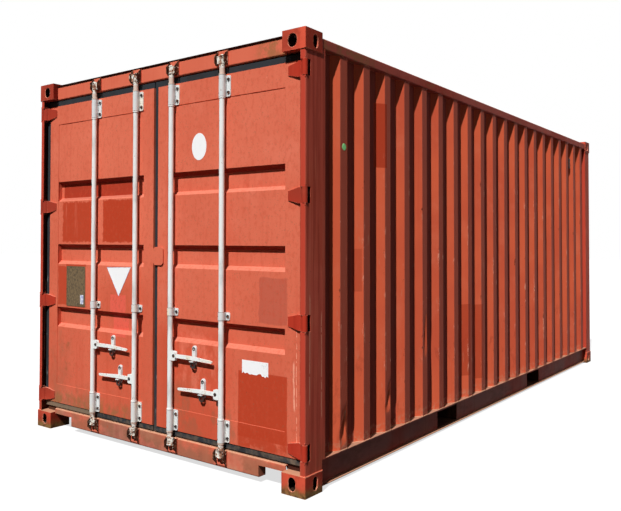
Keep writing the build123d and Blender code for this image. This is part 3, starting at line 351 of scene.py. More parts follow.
def scratch(axis, place, width, ranges, wander=0.008, cut=0.42):
    """A thin, broken and pale upright line at a place on an axis."""

    def cover(shade):
        sway = shade.noise(5.0, stretch=(0, 0, 1), shift=place)
        value = shade.swayed(shade.axis[axis], sway, wander * 2)
        line = shade.inside(value, place - width / 2, place + width / 2, width / 3)
        broken = shade.clouds(26.0, cut, 0.1, detail=5.0, shift=place * 3)
        return shade.times(line, shade.box(ranges, 0.02), broken)

    return tinted(cover, DUST_PALE)


def worn_edges(radius, amount, rim=EDGE_PALE):
    """Chipped edges, pale along the rim and rusty in the middle of the chips."""

    def lay(shade, colour):
        ragged = shade.clouds(34.0, 0.42, 0.18, detail=5.0, shift=5.0)
        cover = shade.times(shade.edges(radius), ragged, amount)
        deep = shade.clouds(60.0, 0.55, 0.11, detail=4.0, shift=7.0)
        return shade.mix(shade.times(cover, deep), shade.mix(cover, colour, rim), RUST_DARK)

    return lay


def bend_chips(tint, amount, scale, cut, shift):
    """Scuffs and chips along the outer bends of the corrugations, in clusters."""

    def cover(shade):
        turn = shade.times(shade.math("SUBTRACT", shade.axis["x"], WALL_FIRST_CREST), 1 / WALL_PITCH)
        share = shade.math("FRACT", shade.math("ADD", turn, 0.5))
        along = shade.times(shade.math("SUBTRACT", share, 0.5), WALL_PITCH)
        gap = shade.math("SUBTRACT", shade.math("ABSOLUTE", along), WALL_CREST_HALF)
        return shade.times(
            shade.fade(shade.math("ABSOLUTE", gap), *BEND_REACH),
            shade.clouds(scale, cut, 0.04, stretch=(1, 1, 0.3), detail=6.0, roughness=0.7, shift=shift),
            shade.clouds(2.6, 0.5, 0.08, detail=3.0, shift=shift + 2),
            shade.box({"z": SCUFFED_LEVELS}, 0.2),
        )

    return tinted(cover, tint, amount)


def rust_spots(amount, region=0.5, scale=24.0):
    """Spots of rust; a low region value spreads them further."""

    def cover(shade):
        spots = shade.clouds(scale, 0.69, 0.05, detail=5.0, roughness=0.7, shift=1.0)
        return shade.times(spots, shade.clouds(2.2, region, 0.12, detail=3.0, shift=3.0))

    return tinted(cover, RUST_DARK, amount)


def on_front(*layers):
    """The layers only on the faces that look out of the door end."""

    def lay(shade, colour):
        front = shade.fade(shade.facing["x"], 0.0, -0.2)
        return shade.mix(front, colour, shade.layered(colour, layers))

    return lay


def dust_and_sheen(amount, tint=DUST_PALE):
    """Pale dust on faces that look up, which on the doors also stands as a painted sheen."""
    return facing("z", 0.2, 0.75, tint, amount)


# Repainted places, scratches, dirt, and painted shade and sheen: where, tint and amount first, in metres
# of the closed part
DOOR_FADE = fading(2.0, 0.5, DOOR_DEEP, 0.3)
DOOR_GRIME_SHADE_AND_SHEEN = (
    # Dust and a painted sheen on the faces of the doors that look up
    dust_and_sheen(0.6, DOOR_DUST_SHEEN),
    # Painted shade: faces that look down, such as the tops of the recesses, are darkened
    facing("z", -0.15, -0.5, SHADE_RED, 0.9, "MULTIPLY"),
    bands(DOOR_DEEP, 0.3, 44.0, (1, 1, 0.6), 0.5, 0.14, shift=9.0),
    bands(DIRT_BROWN, 0.4, 110.0, EVEN, 0.6, 0.06),
    rust_spots(0.8, 0.46, 40.0),
)
RIGHT_DOOR_LAYERS = (
    DOOR_FADE,
    on_front(
        patch(area(-0.6, 0.0, 0.0, 0.86), DOOR_DEEP, 0.7, edge=0.1),
        smudge(area(-0.58, -0.16, 0.42, 0.84), DOOR_PINK, 0.6, 7.0, 0.48, (1, 1, 0.5)),
        smudge(area(-1.1, -0.14, 0.18, 0.5), DIRT_BROWN, 0.42, 8.0, 0.46, (1, 1, 0.6)),
        patch(area(-1.063, -0.707, 0.25, 0.636), FRESH_RED, 0.96, 0.01),
        smudge(area(-1.063, -0.707, 0.19, 0.31), FRESH_RED, 0.9, 9.0, 0.36, edge=0.012),
        patch(area(-1.063, -0.86, 0.925, 1.19), PATCH_BROWN, 0.42, 0.04),
        scratch("y", -1.112, 0.01, {"z": (0.46, 0.72)}, 0.02, 0.3),
        scratch("y", -1.128, 0.004, {"z": (0.2, 0.92)}),
        scratch("y", -0.915, 0.006, {"z": (2.33, 2.392)}, 0.0),
    ),
    *DOOR_GRIME_SHADE_AND_SHEEN,
)
LEFT_DOOR_LAYERS = (
    DOOR_FADE,
    on_front(
        patch(area(0.0, 0.6, 0.0, 1.1), DOOR_DEEP, 0.35, edge=0.12),
        patch(area(0.654, 0.993, 1.395, 1.69), FRESH_RED, 0.95, 0.06, 24.0),
        smudge(area(0.83, 0.98, 1.44, 1.68), DOOR_PINK, 0.7, 8.0, 0.5, (2.5, 2.5, 0.25)),
        patch(area(0.221, 0.533, 1.395, 1.69), FRESH_RED, 1.0, 0.05, 20.0),
        patch(area(0.21, 1.02, 1.705, 1.825), DARK_RED, 0.95, 0.012),
        patch(area(0.935, 1.044, 0.925, 1.215), FRESH_RED, 0.85, 0.03),
        patch(area(0.72, 0.95, 1.214, 1.232), FRESH_RED, 0.9, 0.01),
        patch(area(0.29, 0.45, 0.74, 1.03), PATCH_PINK, 0.75, 0.008),
        fading(0.44, 0.18, DIRT_BROWN, 0.5, 7.0, (1, 1, 0.7)),
        smudge(area(0.7, 1.1, 0.15, 0.32), DIRT_BROWN, 0.4, 8.0, 0.42, (1, 1, 0.7)),
        smudge(area(0.9, 1.15, 0.3, 0.95), DIRT_BROWN, 0.25, 5.0, 0.46, (1, 1, 0.7)),
        smudge(area(0.15, 1.12, 0.16, 0.27), OCHRE, 0.55, 12.0, 0.44, (1, 1, 0.8), 0.05),
        smudge(area(0.9, 1.02, 0.6, 0.7), RUST_LIGHT, 0.7, 14.0, 0.52, edge=0.03),
        smudge(area(0.84, 0.97, 0.42, 0.52), RUST_LIGHT, 0.6, 14.0, 0.54, edge=0.03),
        scratch("y", 0.502, 0.006, {"z": (0.48, 0.54)}, 0.0),
    ),
    *DOOR_GRIME_SHADE_AND_SHEEN,
)
HEADER_LAYERS = (
    smudge(area(-1.1, -0.86, 2.44, 2.6), OCHRE, 0.6, 9.0, 0.4, edge=0.06),
    # A near-black band along the top of the header
    patch({"z": (2.56, 2.6)}, BLACK_BROWN, 0.7),
    rust_spots(0.5),
)
SILL_LAYERS = (
    smudge(area(-1.06, 1.06, 0.0, 0.15), DIRT_BROWN, 0.55, 5.0, 0.42, (1, 1, 1.6)),
    smudge(area(0.4, 0.64, 0.03, 0.13), FRESH_RED, 0.6, 9.0, 0.45),
    smudge(area(-1.2, 1.2, 0.02, 0.07), STEEL_DARK, 0.35, 11.0, 0.5),
    dust_and_sheen(0.7, DUST_BEIGE),
    rust_spots(0.9, 0.42),
)
POST_LAYERS = (
    bands(FRAME_DEEP, 0.55, 16.0, (1.6, 0, 0.05), 0.44, 0.12, shift=1.0),
    bands(DOOR_PINK, 0.28, 22.0, (1.6, 0, 0.06), 0.52, 0.12, shift=6.0),
    facing("x", -0.6, -0.9, POST_FRONT, 0.9),
    # Painted shade: the inside of the post, behind its front and side faces, is painted near black
    patch({"|y|": (1.1, SIDE_FACE - 0.0015), "x": (POST_FACE + 0.004, POST_REAR)}, BLACK_BROWN, 0.85,
          edge=0.0008),
    scratch("x", -2.978, 0.007, {"|y|": (1.2, 1.23), "z": (0.5, 1.1)}, 0.008, 0.36),
    scratch("x", -2.858, 0.007, {"|y|": (1.2, 1.23), "z": (0.42, 1.0)}, 0.014, 0.36),
    fading(0.4, 0.13, DIRT_BROWN, 0.3, 7.0, (1, 1, 0.5)),
    worn_edges(0.005, 0.5),
    dust_and_sheen(0.6),
    rust_spots(0.7),
)
CASTING_LAYERS = (
    bands(FRAME_DEEP, 0.5, 14.0, EVEN, 0.46, 0.2, shift=3.0),
    # Painted shade: the casting faces on the right side, which look along -y, are darkened
    facing("y", -0.5, -0.9, CASTING_SIDE_SHADE, 0.6, "MULTIPLY"),
    fading(0.06, 0.01, OCHRE, 0.9),
    fading(0.085, 0.0, OCHRE, 1.0, 26.0),
    fading(0.06, 0.0, RUST_DARK, 0.8, 40.0),
    worn_edges(0.006, 0.9),
    dust_and_sheen(0.75, DUST_BEIGE),
    rust_spots(1.0, 0.4, 40.0),
    # Painted shade: the hollow insides of the castings, behind their face holes, are painted near black
    *[patch({**CASTING_HOLLOW, "z": levels}, BLACK_BROWN, 0.94, edge=0.001)
      for levels in ((0.012, 0.108), (2.483, 2.579))],
)
RIGHT_SIDE = (-1.3, 0.0)
WALL_LAYERS = (
    # Painted shade: the outer crests of the corrugations are darkened, and the hollows between them
    # darker still
    patch({"|y|": (WALL_OUTER - 0.0015, WALL_OUTER + 0.01)}, WALL_CREST_SHADE, 0.75, edge=0.001),
    patch({"|y|": (1.1, WALL_INNER + 0.0015)}, WALL_HOLLOW_SHADE, 0.85, edge=0.001),
    bands(WALL_DULL, 0.25, 20.0, (2.0, 0, 0.05), 0.5, 0.2, shift=5.0),
    patch({"x": (-2.18, -2.068), "y": RIGHT_SIDE, "z": (1.883, 2.3)}, FRESH_RED, 0.9, 0.004),
    patch({"x": (-2.455, -2.382), "y": RIGHT_SIDE, "z": (1.097, 1.359)}, DARK_RED, 0.35, 0.004),
    patch({"x": (-0.822, -0.66), "y": RIGHT_SIDE, "z": (0.351, 0.912)}, FRESH_RED, 0.6, 0.01),
    patch({"x": (-0.534, -0.388), "y": RIGHT_SIDE, "z": (0.29, 0.893)}, FRESH_RED, 0.6, 0.01),
    smudge({"|y|": (1.19, 1.23), "z": (0.3, 1.7)}, DUST_BEIGE, 0.8, 30.0, 0.61, (1, 1, 0.22)),
    bend_chips(DUST_PALE, 0.85, 42.0, 0.56, 3.0),
    bend_chips(RUST_DARK, 0.9, 36.0, 0.6, 8.0),
    smudge({"|y|": (1.16, 1.23), "z": (0.17, 0.24)}, DUST_BEIGE, 0.35, 40.0, 0.46, edge=0.02),
    smudge({"|y|": (1.16, 1.23), "z": (0.17, 0.75)}, FRAME_DEEP, 0.5, 12.0, 0.54, (1, 1, 0.5)),
    rust_spots(0.6),
)
TOP_RAIL_LAYERS = (
    smudge({"x": (-2.9, -2.25), "z": (2.49, 2.58)}, OCHRE, 0.75, 12.0, 0.42, edge=0.1),
    smudge({"x": (-2.9, -1.9), "z": (2.49, 2.58)}, BLACK_BROWN, 0.7, 20.0, 0.58, edge=0.15),
    bands(RUST_LIGHT, 0.4, 8.0, (1, 0, 3), 0.52, 0.16, shift=2.0),
    worn_edges(0.005, 0.5),
    rust_spots(0.9, 0.42),
)
BOTTOM_RAIL_LAYERS = (
    bands(UNDER_BROWN, 0.4, 3.0, (1, 1, 3), 0.46, 0.2),
    patch({"z": (0.0, 0.0225)}, DUST_BEIGE, 0.6, 0.01, 30.0),
    dust_and_sheen(0.55, DUST_BEIGE),
    rust_spots(0.9, 0.42),
)
FRAME_LAYERS = (worn_edges(0.005, 0.5), dust_and_sheen(0.4), rust_spots(0.8))
HINGE_LAYERS = (worn_edges(0.004, 0.9), dust_and_sheen(0.6), rust_spots(0.8, 0.42, 50.0))
REAR_WALL_LAYERS = (fading(0.6, 0.2, DIRT_BROWN, 0.4, 7.0), rust_spots(0.6))
ROOF_LAYERS = (bands(DIRT_BROWN, 0.6, 7.0, EVEN, 0.46, 0.14), rust_spots(1.0, 0.42))
ROOF_PLATE_LAYERS = (
    # The roof plate's front, over the header, is painted near black
    patch({"x": (-3.02, HEADER_FACE + 0.002)}, BLACK_BROWN, 0.95),
    rust_spots(1.0, 0.42),
)
WELD_LAYERS = (rust_spots(1.0, 0.3, 60.0),)
KEEPER_LAYERS = (
    bands(CREAM, 0.8, 45.0, EVEN, 0.6, 0.05, shift=4.0),
    patch({"x": (HEADER_FACE - 0.0075, HEADER_FACE + 0.01)}, DOOR_RED, 0.92, edge=0.0008),
)
RUBBER_LAYERS = (
    fading(0.3, 0.16, RUBBER_DUSTY, 0.35, 24.0),
    smudge(area(0.62, 1.25, 0.1, 0.22), RUBBER_DUSTY, 0.95, 7.0, 0.34),
    smudge(area(-1.25, -0.9, 0.1, 0.22), RUBBER_DUSTY, 0.6, 9.0, 0.46),
    smudge(area(-1.25, 1.25, 0.3, 1.3), ROD_GREY, 0.4, 30.0, 0.6, (1, 1, 0.3)),
    # Painted shade: the top ends of the rubber beside the posts, under the castings, are painted near
    # black
    patch({"|y|": (1.085, 1.3), "z": (2.36, 2.6)}, BLACK_BROWN, 0.95, edge=0.006),
)
PAPER_LAYERS = (smudge({"y": (-0.925, -0.885)}, ROD_GREY, 0.7, 120.0, 0.52, edge=0.01),)


def weathered(name, base, dull, pale, layers=(), streaks=0.2):
    """Old paint: slow change of tone, runs, washed streaks and grain, then the layers given."""
    shade = Shade(name, PAINT_ROUGHNESS, PAINT_SPECULAR)
    colour = shade.mix(shade.clouds(1.1, 0.42, 0.2, detail=3.0), base, dull)
    cloud = shade.clouds(3.1, 0.5, 0.22, detail=5.0, shift=4.0)
    colour = shade.mix(shade.times(cloud, 0.5), colour, pale)
    colour = shade.layered(colour, (
        bands(dull, streaks, 9.0, (2.4, 2.4, 0.1), 0.52, 0.23, "MULTIPLY", 2.0),
        bands(pale, streaks * 0.9, 12.0, (2.0, 2.0, 0.14), 0.55, 0.25, shift=8.0),
        bands(dull, 0.16, 70.0, EVEN, 0.45, 0.35),
        *layers,
    ))
    grain = shade.times(shade.noise(70.0, detail=2.0), 0.3)
    relief = shade.math("ADD", shade.noise(26.0, detail=3.0), grain)
    return shade.surfaced(colour, relief, 0.12, 0.004)


CAM_STAIN = (0.085, 0.055)
CAM_NECK = (0.12, 0.075)


def cam_stains(shade, colour, level, way):
    """Cream and rust on the cam at one end of a rod, and dust on the neck behind it."""
    height = shade.axis["z"]
    end = shade.fade(height, *[level + way * rise for rise in CAM_STAIN])
    neck = shade.inside(height, *sorted(level + way * rise for rise in CAM_NECK), 0.005)
    stain = shade.clouds(38.0, 0.46, 0.1, detail=5.0, shift=level)
    core = shade.clouds(55.0, 0.54, 0.06, detail=4.0, shift=level + 3)
    colour = shade.mix(shade.times(end, 0.5), colour, CREAM)
    colour = shade.mix(shade.times(neck, 0.6), colour, DUST_BEIGE)
    colour = shade.mix(shade.times(end, stain, 0.9), colour, RUST_LIGHT)
    return shade.mix(shade.times(end, core, 0.95), colour, RUST_DARK)


def rod_paint(name, base, other, chips=0.65, ends=True):
    """Off-white paint with grey runs and chips, and rust at the cams or on the edges."""
    shade = Shade(name, 0.5, 0.12)
    colour = shade.mix(shade.clouds(11.0, 0.5, 0.22, stretch=(1, 1, 0.3), detail=5.0), base, other)
    chipped = shade.clouds(60.0, chips, 0.03, detail=5.0, roughness=0.7, shift=2.0)
    colour = shade.mix(shade.times(chipped, 0.75), colour, RUST_LIGHT)
    if ends:
        colour = cam_stains(shade, colour, ROD_TOP, -1)
        colour = cam_stains(shade, colour, ROD_BOTTOM, 1)
    else:
        colour = shade.layered(colour, [worn_edges(0.003, 0.5, ROD_GREY)])
    return shade.surfaced(colour, shade.noise(90.0, detail=3.0), 0.15, 0.002)


def rubber():
    """Dark door rubber, dusty low down and beige at the lower left, and near black as painted shade at
    its top ends beside the posts.
    """
    shade = Shade("gasket_rubber", 0.8, 0.06)
    colour = shade.mix(shade.clouds(6.0, 0.45, 0.25, detail=6.0), RUBBER_GREY, STEEL_DARK)
    colour = shade.layered(colour, RUBBER_LAYERS)
    return shade.surfaced(colour, shade.noise(60.0, detail=3.0), 0.2, 0.003)


def plain(name, base, other, roughness, specular, scale=18.0, stretch=EVEN, layers=(), cut=0.4):
    """A simple worn surface of two tones with layers on it."""
    shade = Shade(name, roughness, specular)
    colour = shade.mix(shade.clouds(scale, cut, 0.26, stretch=stretch, detail=6.0), base, other)
    colour = shade.layered(colour, layers)
    return shade.surfaced(colour, shade.noise(scale * 4, stretch=stretch, detail=3.0), 0.2, 0.002)


# Base, dull and pale colours, layers, and the strength of the streaks where it isn't the usual one
OLD_PAINT = {
    "right_door": (DOOR_RED, DOOR_DULL, DOOR_PINK, RIGHT_DOOR_LAYERS),
    "left_door": (DOOR_RED, DOOR_DULL, DOOR_PINK, LEFT_DOOR_LAYERS),
    "header": (DOOR_RED, DOOR_DULL, DOOR_PINK, HEADER_LAYERS),
    "sill": (SILL_RED, DOOR_DULL, DUST_BEIGE, SILL_LAYERS),
    "post": (POST_SIDE, FRAME_RED, DOOR_RED, POST_LAYERS),
    "frame": (FRAME_RED, FRAME_DEEP, DOOR_RED, FRAME_LAYERS),
    "hinge": (HINGE_RED, FRAME_DEEP, FRAME_RED, HINGE_LAYERS),
    "casting": (CASTING_RED, FRAME_DEEP, FRAME_RED, CASTING_LAYERS),
    "wall": (WALL_RED, WALL_DULL, WALL_PALE, WALL_LAYERS, 0.12),
    "rear_wall": (WALL_RED, WALL_DULL, WALL_PALE, REAR_WALL_LAYERS, 0.3),
    "top_rail": (TOP_RAIL_RED, FRAME_DEEP, FRAME_RED, TOP_RAIL_LAYERS),
    "bottom_rail": (RAIL_DUSTY, FRAME_DEEP, SILL_RED, BOTTOM_RAIL_LAYERS),
    "roof": (ROOF_RED, FRAME_DEEP, FRAME_RED, ROOF_LAYERS),
    "roof_plate": (ROOF_RED, WALL_DULL, WALL_RED, ROOF_PLATE_LAYERS),
    "weld": (DOOR_RED, DOOR_DULL, DOOR_PINK, WELD_LAYERS),
    # Dark seam beads; the top one is thick and dark as painted shade under the leaf's top member
    "seam": (FRAME_DEEP, FRESH_RED, DOOR_DULL, WELD_LAYERS),
    "wall_weld": (DUST_BEIGE, DIRT_BROWN, DUST_PALE, WELD_LAYERS),
    "underframe": (UNDER_BROWN, RUST_DARK, DIRT_BROWN),
}
PAINT = {
    **{kind: weathered(f"{kind}_paint", *look) for kind, look in OLD_PAINT.items()},
    "rim": plain("rim_paint", EDGE_PALE, RUST_DARK, 0.7, 0.08, 60.0, cut=0.42),
    "rod": rod_paint("rod_paint", ROD_WHITE, ROD_GREY),
    "bracket": rod_paint("bracket_paint", SLEEVE_GREY, CREAM, ends=False),
    "handle": rod_paint("handle_paint", ROD_WHITE, CREAM, 0.6, ends=False),
    "rubber": rubber(),
    # Keepers in dark brown and rust, kept dark also as painted shade under the cams
    "keeper": plain("keeper_paint", DIRT_BROWN, RUST_DARK, 0.8, 0.1, 40.0, cut=0.3,
                    layers=KEEPER_LAYERS),
    "steel": plain("dark_steel", STEEL_DARK, RUST_DARK, 0.6, 0.2),
    "bolt": plain("bolt_steel", STEEL_DARK, RUST_LIGHT, 0.6, 0.2, 60.0, cut=0.5),
    "ply": plain("floor_plywood", PLY_BROWN, PLY_DARK, 0.7, 0.1, 6.0, (0.4, 6, 6)),
    "plastic": plain("vent_plastic", PLASTIC_DARK, RUST_DARK, 0.6, 0.1, 30.0),
    "plate": plain("tag_plate", PLATE_BROWN, PLATE_DARK, 0.5, 0.15, 70.0, (1.6, 1.6, 0.8)),
    "white": plain("white_sheet", MARK_WHITE, ROD_WHITE, 0.6, 0.05, 30.0, cut=0.56),
    "paper": plain("paper_label", MARK_WHITE, ROD_WHITE, 0.6, 0.05, 90.0, layers=PAPER_LAYERS, cut=0.52),
    "pale_tag": plain("pale_tag", MARK_BLUE, MARK_WHITE, 0.5, 0.1, 40.0),
    "green": plain("green_dot", MARK_GREEN, MARK_WHITE, 0.5, 0.1, 40.0, cut=0.7),
}
NODE_PAINT = {
    "casting": ("corner_castings",),
    "right_door": ("right_door_frame", "right_door_panel", "overlap_tab"),
    "left_door": ("left_door_frame", "left_door_panel"),
    "rubber": ("gasket",),
    "hinge": ("door_hinges",),
    "steel": ("hinge_pins", "seal_rings"),
    "keeper": ("cam_keepers",),
    "post": ("door_post", "rear_post"),
    "header": ("door_header",),
    "sill": ("door_sill",),
    "rod": ("lock_rod",),
    "bracket": ("rod_brackets", "handle_retainers"),
    "handle": ("_handle",),
    "wall": ("side_wall",),
    "rear_wall": ("rear_end_wall",),
    "roof_plate": ("door_end_roof_plate",),
    "roof": ("roof",),
    "top_rail": ("right_top_rail", "left_top_rail"),
    "bottom_rail": ("right_bottom_rail", "left_bottom_rail"),
    "plastic": ("vents",),
    "ply": ("floor_boards",),
    "underframe": ("cross_members", "fork_pockets"),
}


def paint_of(node):
    """The first paint that has a part of the node's name; the rest is frame paint."""
    for paint, parts in NODE_PAINT.items():
        if any(part in node for part in parts):
            return PAINT[paint]
    return PAINT["frame"]


for node, thing in NODES.items():
    thing.data.materials.clear()
    thing.data.materials.append(paint_of(node))

# Pieces made here
NORMAL_WEIGHT = 100
SAME_PLACE = 0.000001
BEAD_SIDES = 6
RING_STEP = 0.01

# How far a weld or a slat is set into its face, and a panel weld or a small screw
SINK = 0.001
FINE_SINK = 0.0005


def placed(name, data):
    """An object with this data in the scene."""
    thing = bpy.data.objects.new(name, data)
    bpy.context.scene.collection.objects.link(thing)
    return thing


def finished(name, bm, paint, body="container", smooth_angle=35.0):
    """Turns the mesh into a piece that rides on its body."""
    bmesh.ops.recalc_face_normals(bm, faces=bm.faces)
    mesh = bpy.data.meshes.new(name)
    bm.to_mesh(mesh)
    bm.free()
    mesh.materials.append(PAINT[paint])
    for polygon in mesh.polygons:
        polygon.use_smooth = True
    mesh.set_sharp_from_angle(angle=math.radians(smooth_angle))
    thing = placed(name, mesh)
    normals = thing.modifiers.new("normals", "WEIGHTED_NORMAL")
    normals.weight = NORMAL_WEIGHT
    normals.keep_sharp = True
    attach(thing, body)
    return thing


def disc(bm, place, out, form, base=0.0):
    """A low head with a form of radius, height, sides and taper, at its place and pointing out."""
    radius, height, sides, taper = form
    turn = Vector(out).to_track_quat("Z", "Y").to_matrix().to_4x4()
    matrix = Matrix.Translation(place) @ turn @ Matrix.Translation((0, 0, base + height / 2))
    bmesh.ops.create_cone(bm, cap_ends=True, segments=sides, radius1=radius,
                          radius2=radius * taper, depth=height, matrix=matrix)


def slab(bm, x, y, z, edge):
    """A thin plate between two values on each axis, with bevelled edges."""
    size = [abs(high - low) for low, high in (x, y, z)]
    middle = [(low + high) / 2 for low, high in (x, y, z)]
    matrix = Matrix.Translation(middle) @ Matrix.Diagonal((*size, 1))
    made = bmesh.ops.create_cube(bm, size=1.0, matrix=matrix)
    edges = {e for vert in made["verts"] for e in vert.link_edges}
    bmesh.ops.bevel(bm, geom=list(edges), offset=edge, segments=2, affect="EDGES")


def spaced(points, step):
    """More points along straight runs, at most a step apart."""
    line = [Vector(points[0])]
    for start, end in zip(points, points[1:]):
        start, end = Vector(start), Vector(end)
        count = max(1, math.ceil((end - start).length / step))
        line.extend(start.lerp(end, number / count) for number in range(1, count + 1))
    return line


def bead(bm, points, radius, step=0.03, wobble=0.22):
    """A bead along the points, uneven as one laid by hand; it closes where its ends meet."""
    line = spaced(points, step)
    closed = (line[0] - line[-1]).length < SAME_PLACE
    if closed:
        line.pop()
    count = len(line)
    rings = []
    for number, place in enumerate(line):
        before = line[number - 1] if closed or number > 0 else place
        after = line[(number + 1) % count] if closed or number < count - 1 else place
        heading = (after - before).normalized()
        if rings:
            turn = old_heading.rotation_difference(heading) @ turn
        else:
            turn = heading.to_track_quat("Z", "Y")
        old_heading = heading
        size = radius * (1 + random.uniform(-wobble, wobble))
        corners = []
        for side in range(BEAD_SIDES):
            angle = 2 * math.pi * side / BEAD_SIDES
            offset = Vector((size * math.cos(angle), size * math.sin(angle), 0))
            corners.append(bm.verts.new(place + turn @ offset))
        rings.append(corners)
    joined = rings[1:] + rings[:1] if closed else rings[1:]
    for first, second in zip(rings, joined):
        for side in range(BEAD_SIDES):
            other = (side + 1) % BEAD_SIDES
            bm.faces.new((first[side], first[other], second[other], second[side]))
    if not closed:
        bm.faces.new(list(reversed(rings[0])))
        bm.faces.new(rings[-1])


def round_outline(across, up, count):
    """The points of a circle or an oval from its two half sizes; the first comes again at the end."""
    angles = [2 * math.pi * number / count for number in range(count + 1)]
    return [(across * math.cos(angle), up * math.sin(angle)) for angle in angles]


def around(centre, outline, first, second):
    """An outline laid around a centre, in the plane of two axes."""
    points = []
    for one, other in outline:
        point = list(centre)
        point[first] += one
        point[second] += other
        points.append(point)
    return points


def ring(bm, centre, form, first, second):
    """A round bead in the plane of two axes, with a form of radius, section, points and wobble."""
    radius, section, count, wobble = form
    circle = round_outline(radius, radius, count)
    bead(bm, around(centre, circle, first, second), section, RING_STEP, wobble)


# Door leaves: panel welds, bracket bolts, stickers and the tag plate
OUTWARD = (-1, 0, 0)
WELD_RADIUS = 0.0018
SEAM_RADIUS = 0.0036

# Each bracket's level, how far its bolts are from it up and down and from the rod, and its seat
BRACKETS = ((2.347, 0.04, 0.0346, LEAF_FACE), (0.95, 0.0, 0.0336, PANEL_FACE),
            (0.259, 0.04, 0.0346, LEAF_FACE))
FLANGE_SHEET = 0.006
BOLT = (0.0105, 0.006, 6, 0.9)
WASHER = (0.0145, 0.0016, 20, 0.88)
SLEEVE_RADIUS = 0.0206
SLEEVE_HALVES = (0.024, 0.065)
SCREW_SPREAD = 1.15
SCREW = (0.0042, 0.0016, 12, 0.88)
SCREW_ANGLE = math.radians(38.0)
SCREW_OUT = (-math.cos(SCREW_ANGLE), math.sin(SCREW_ANGLE), 0)
BUSH = (0.0186, 0.0018, 20, 0.1)
LUG_FACE = PANEL_FACE - 0.014
LUG_HOLE_RISE = 0.056
LUG_RIM = (0.0092, 0.0028, 16, 0.1)


def panel_welds(side, sign):
    """Beads between the pressed panel and the leaf frame, all round; the top one is thick and dark as
    painted shade under the top member.
    """
    (near, low), (far, high) = WINDOW
    bm = bmesh.new()
    x = PANEL_FACE + FINE_SINK
    bead(bm, [(x, sign * near, low), (x, sign * far, low)], WELD_RADIUS)
    finished(f"{side}_panel_weld", bm, "weld", f"{side}_door")
    bm = bmesh.new()
    bead(bm, [(x, sign * near, high), (x, sign * far, high)], SEAM_RADIUS)
    for edge in (near, far):
        bead(bm, [(x, sign * edge, low), (x, sign * edge, high)], WELD_RADIUS)
    finished(f"{side}_panel_seams", bm, "seam", f"{side}_door")


def bracket_bolts(side):
    """Bolts with washers on the flanges, screws and bushes on the sleeves, rims at the lug holes."""
    bolts = bmesh.new()
    washers = bmesh.new()
    for rod, retainer in RODS.items():
        if not rod.startswith(side):
            continue
        place = JOINTS[f"{rod}_rod_turn"]["pos_m"][1]
        for level, spread, shift, seat in BRACKETS:
            for rise in sorted({-spread, spread}):
                spot = (seat - FLANGE_SHEET, place - shift, level + rise)
                disc(washers, spot, OUTWARD, WASHER)
                disc(bolts, spot, OUTWARD, BOLT, WASHER[1])
                spot = Vector((ROD_X, place, level + rise * SCREW_SPREAD))
                spot += Vector(SCREW_OUT) * (SLEEVE_RADIUS - FINE_SINK)
                disc(bolts, spot, SCREW_OUT, SCREW)
            half = SLEEVE_HALVES[spread > 0]
            for end in (level - half, level + half):
                ring(bolts, (ROD_X, place, end), BUSH, 0, 1)
        level = JOINTS[f"{rod}_handle_lift"]["pos_m"][2] + LUG_HOLE_RISE
        ring(bolts, (LUG_FACE, place + retainer, level), LUG_RIM, 1, 2)
    finished(f"{side}_bracket_bolts", bolts, "bolt", f"{side}_door")
    finished(f"{side}_bracket_washers", washers, "bracket", f"{side}_door")


HUB_FRONT = ROD_X - 0.011
PIVOT_WASHER = (0.0115, 0.002, 20, 0.88)
PIVOT_HEAD = (0.0075, 0.0045, 6, 0.9)

# The radius and the rise of each step of a knob, then the height, sides and taper of all
KNOB_STEPS = ((0.0168, 0.0), (0.0135, 0.004), (0.0085, 0.007))
KNOB_FORM = (0.004, 24, 0.84)
CAM_RING_RISES = (0.046, 0.0)
CAM_RING = (0.0172, 0.003, 20, 0.15)


def rod_details(rod):
    """The pivot bolt's head on the hub, and the knobs and beads on the cams."""
    spot = (HUB_FRONT, *JOINTS[f"{rod}_handle_lift"]["pos_m"][1:])
    place = JOINTS[f"{rod}_rod_turn"]["pos_m"][1]
    bm = bmesh.new()
    disc(bm, spot, OUTWARD, PIVOT_WASHER)
    disc(bm, spot, OUTWARD, PIVOT_HEAD, PIVOT_WASHER[1])
    finished(f"{rod}_pivot_bolt", bm, "bolt", f"{rod}_rod")
    bm = bmesh.new()
    for end, way in ((ROD_TOP, 1), (ROD_BOTTOM, -1)):
        for radius, rise in KNOB_STEPS:
            disc(bm, (ROD_X, place, end + way * rise), (0, 0, way), (radius, *KNOB_FORM))
        for rise in CAM_RING_RISES:
            ring(bm, (ROD_X, place, end - way * rise), CAM_RING, 0, 1)
    finished(f"{rod}_cam_knobs", bm, "rod", f"{rod}_rod")


STICKER_SHEET = 0.001
OVAL_CENTRE = (-0.385, 1.998)
OVAL_HALVES = (0.061, 0.085)
OVAL_POINTS = 48
LABEL_RIGHT, LABEL_LEFT = -0.93, -0.737
LABEL_BOTTOM, LABEL_TOP = 0.622, 0.702
TORN_POINTS = 18
TORN_REACH = (-0.004, 0.01)
TORN_LOW_POINTS = 5
TORN_DROP = 0.006
TRIANGLE = [(0.241, 1.222), (0.485, 1.216), (0.362, 1.022)]
TRIANGLE_RIM_FACE = PANEL_FACE - 0.0008
TRIANGLE_RIM = (0.0016, 0.05, 0.1)
DOT_PLACE = (-2.605, -WALL_OUTER, 1.966)
DOT = (0.021, 0.0012, 24, 0.97)


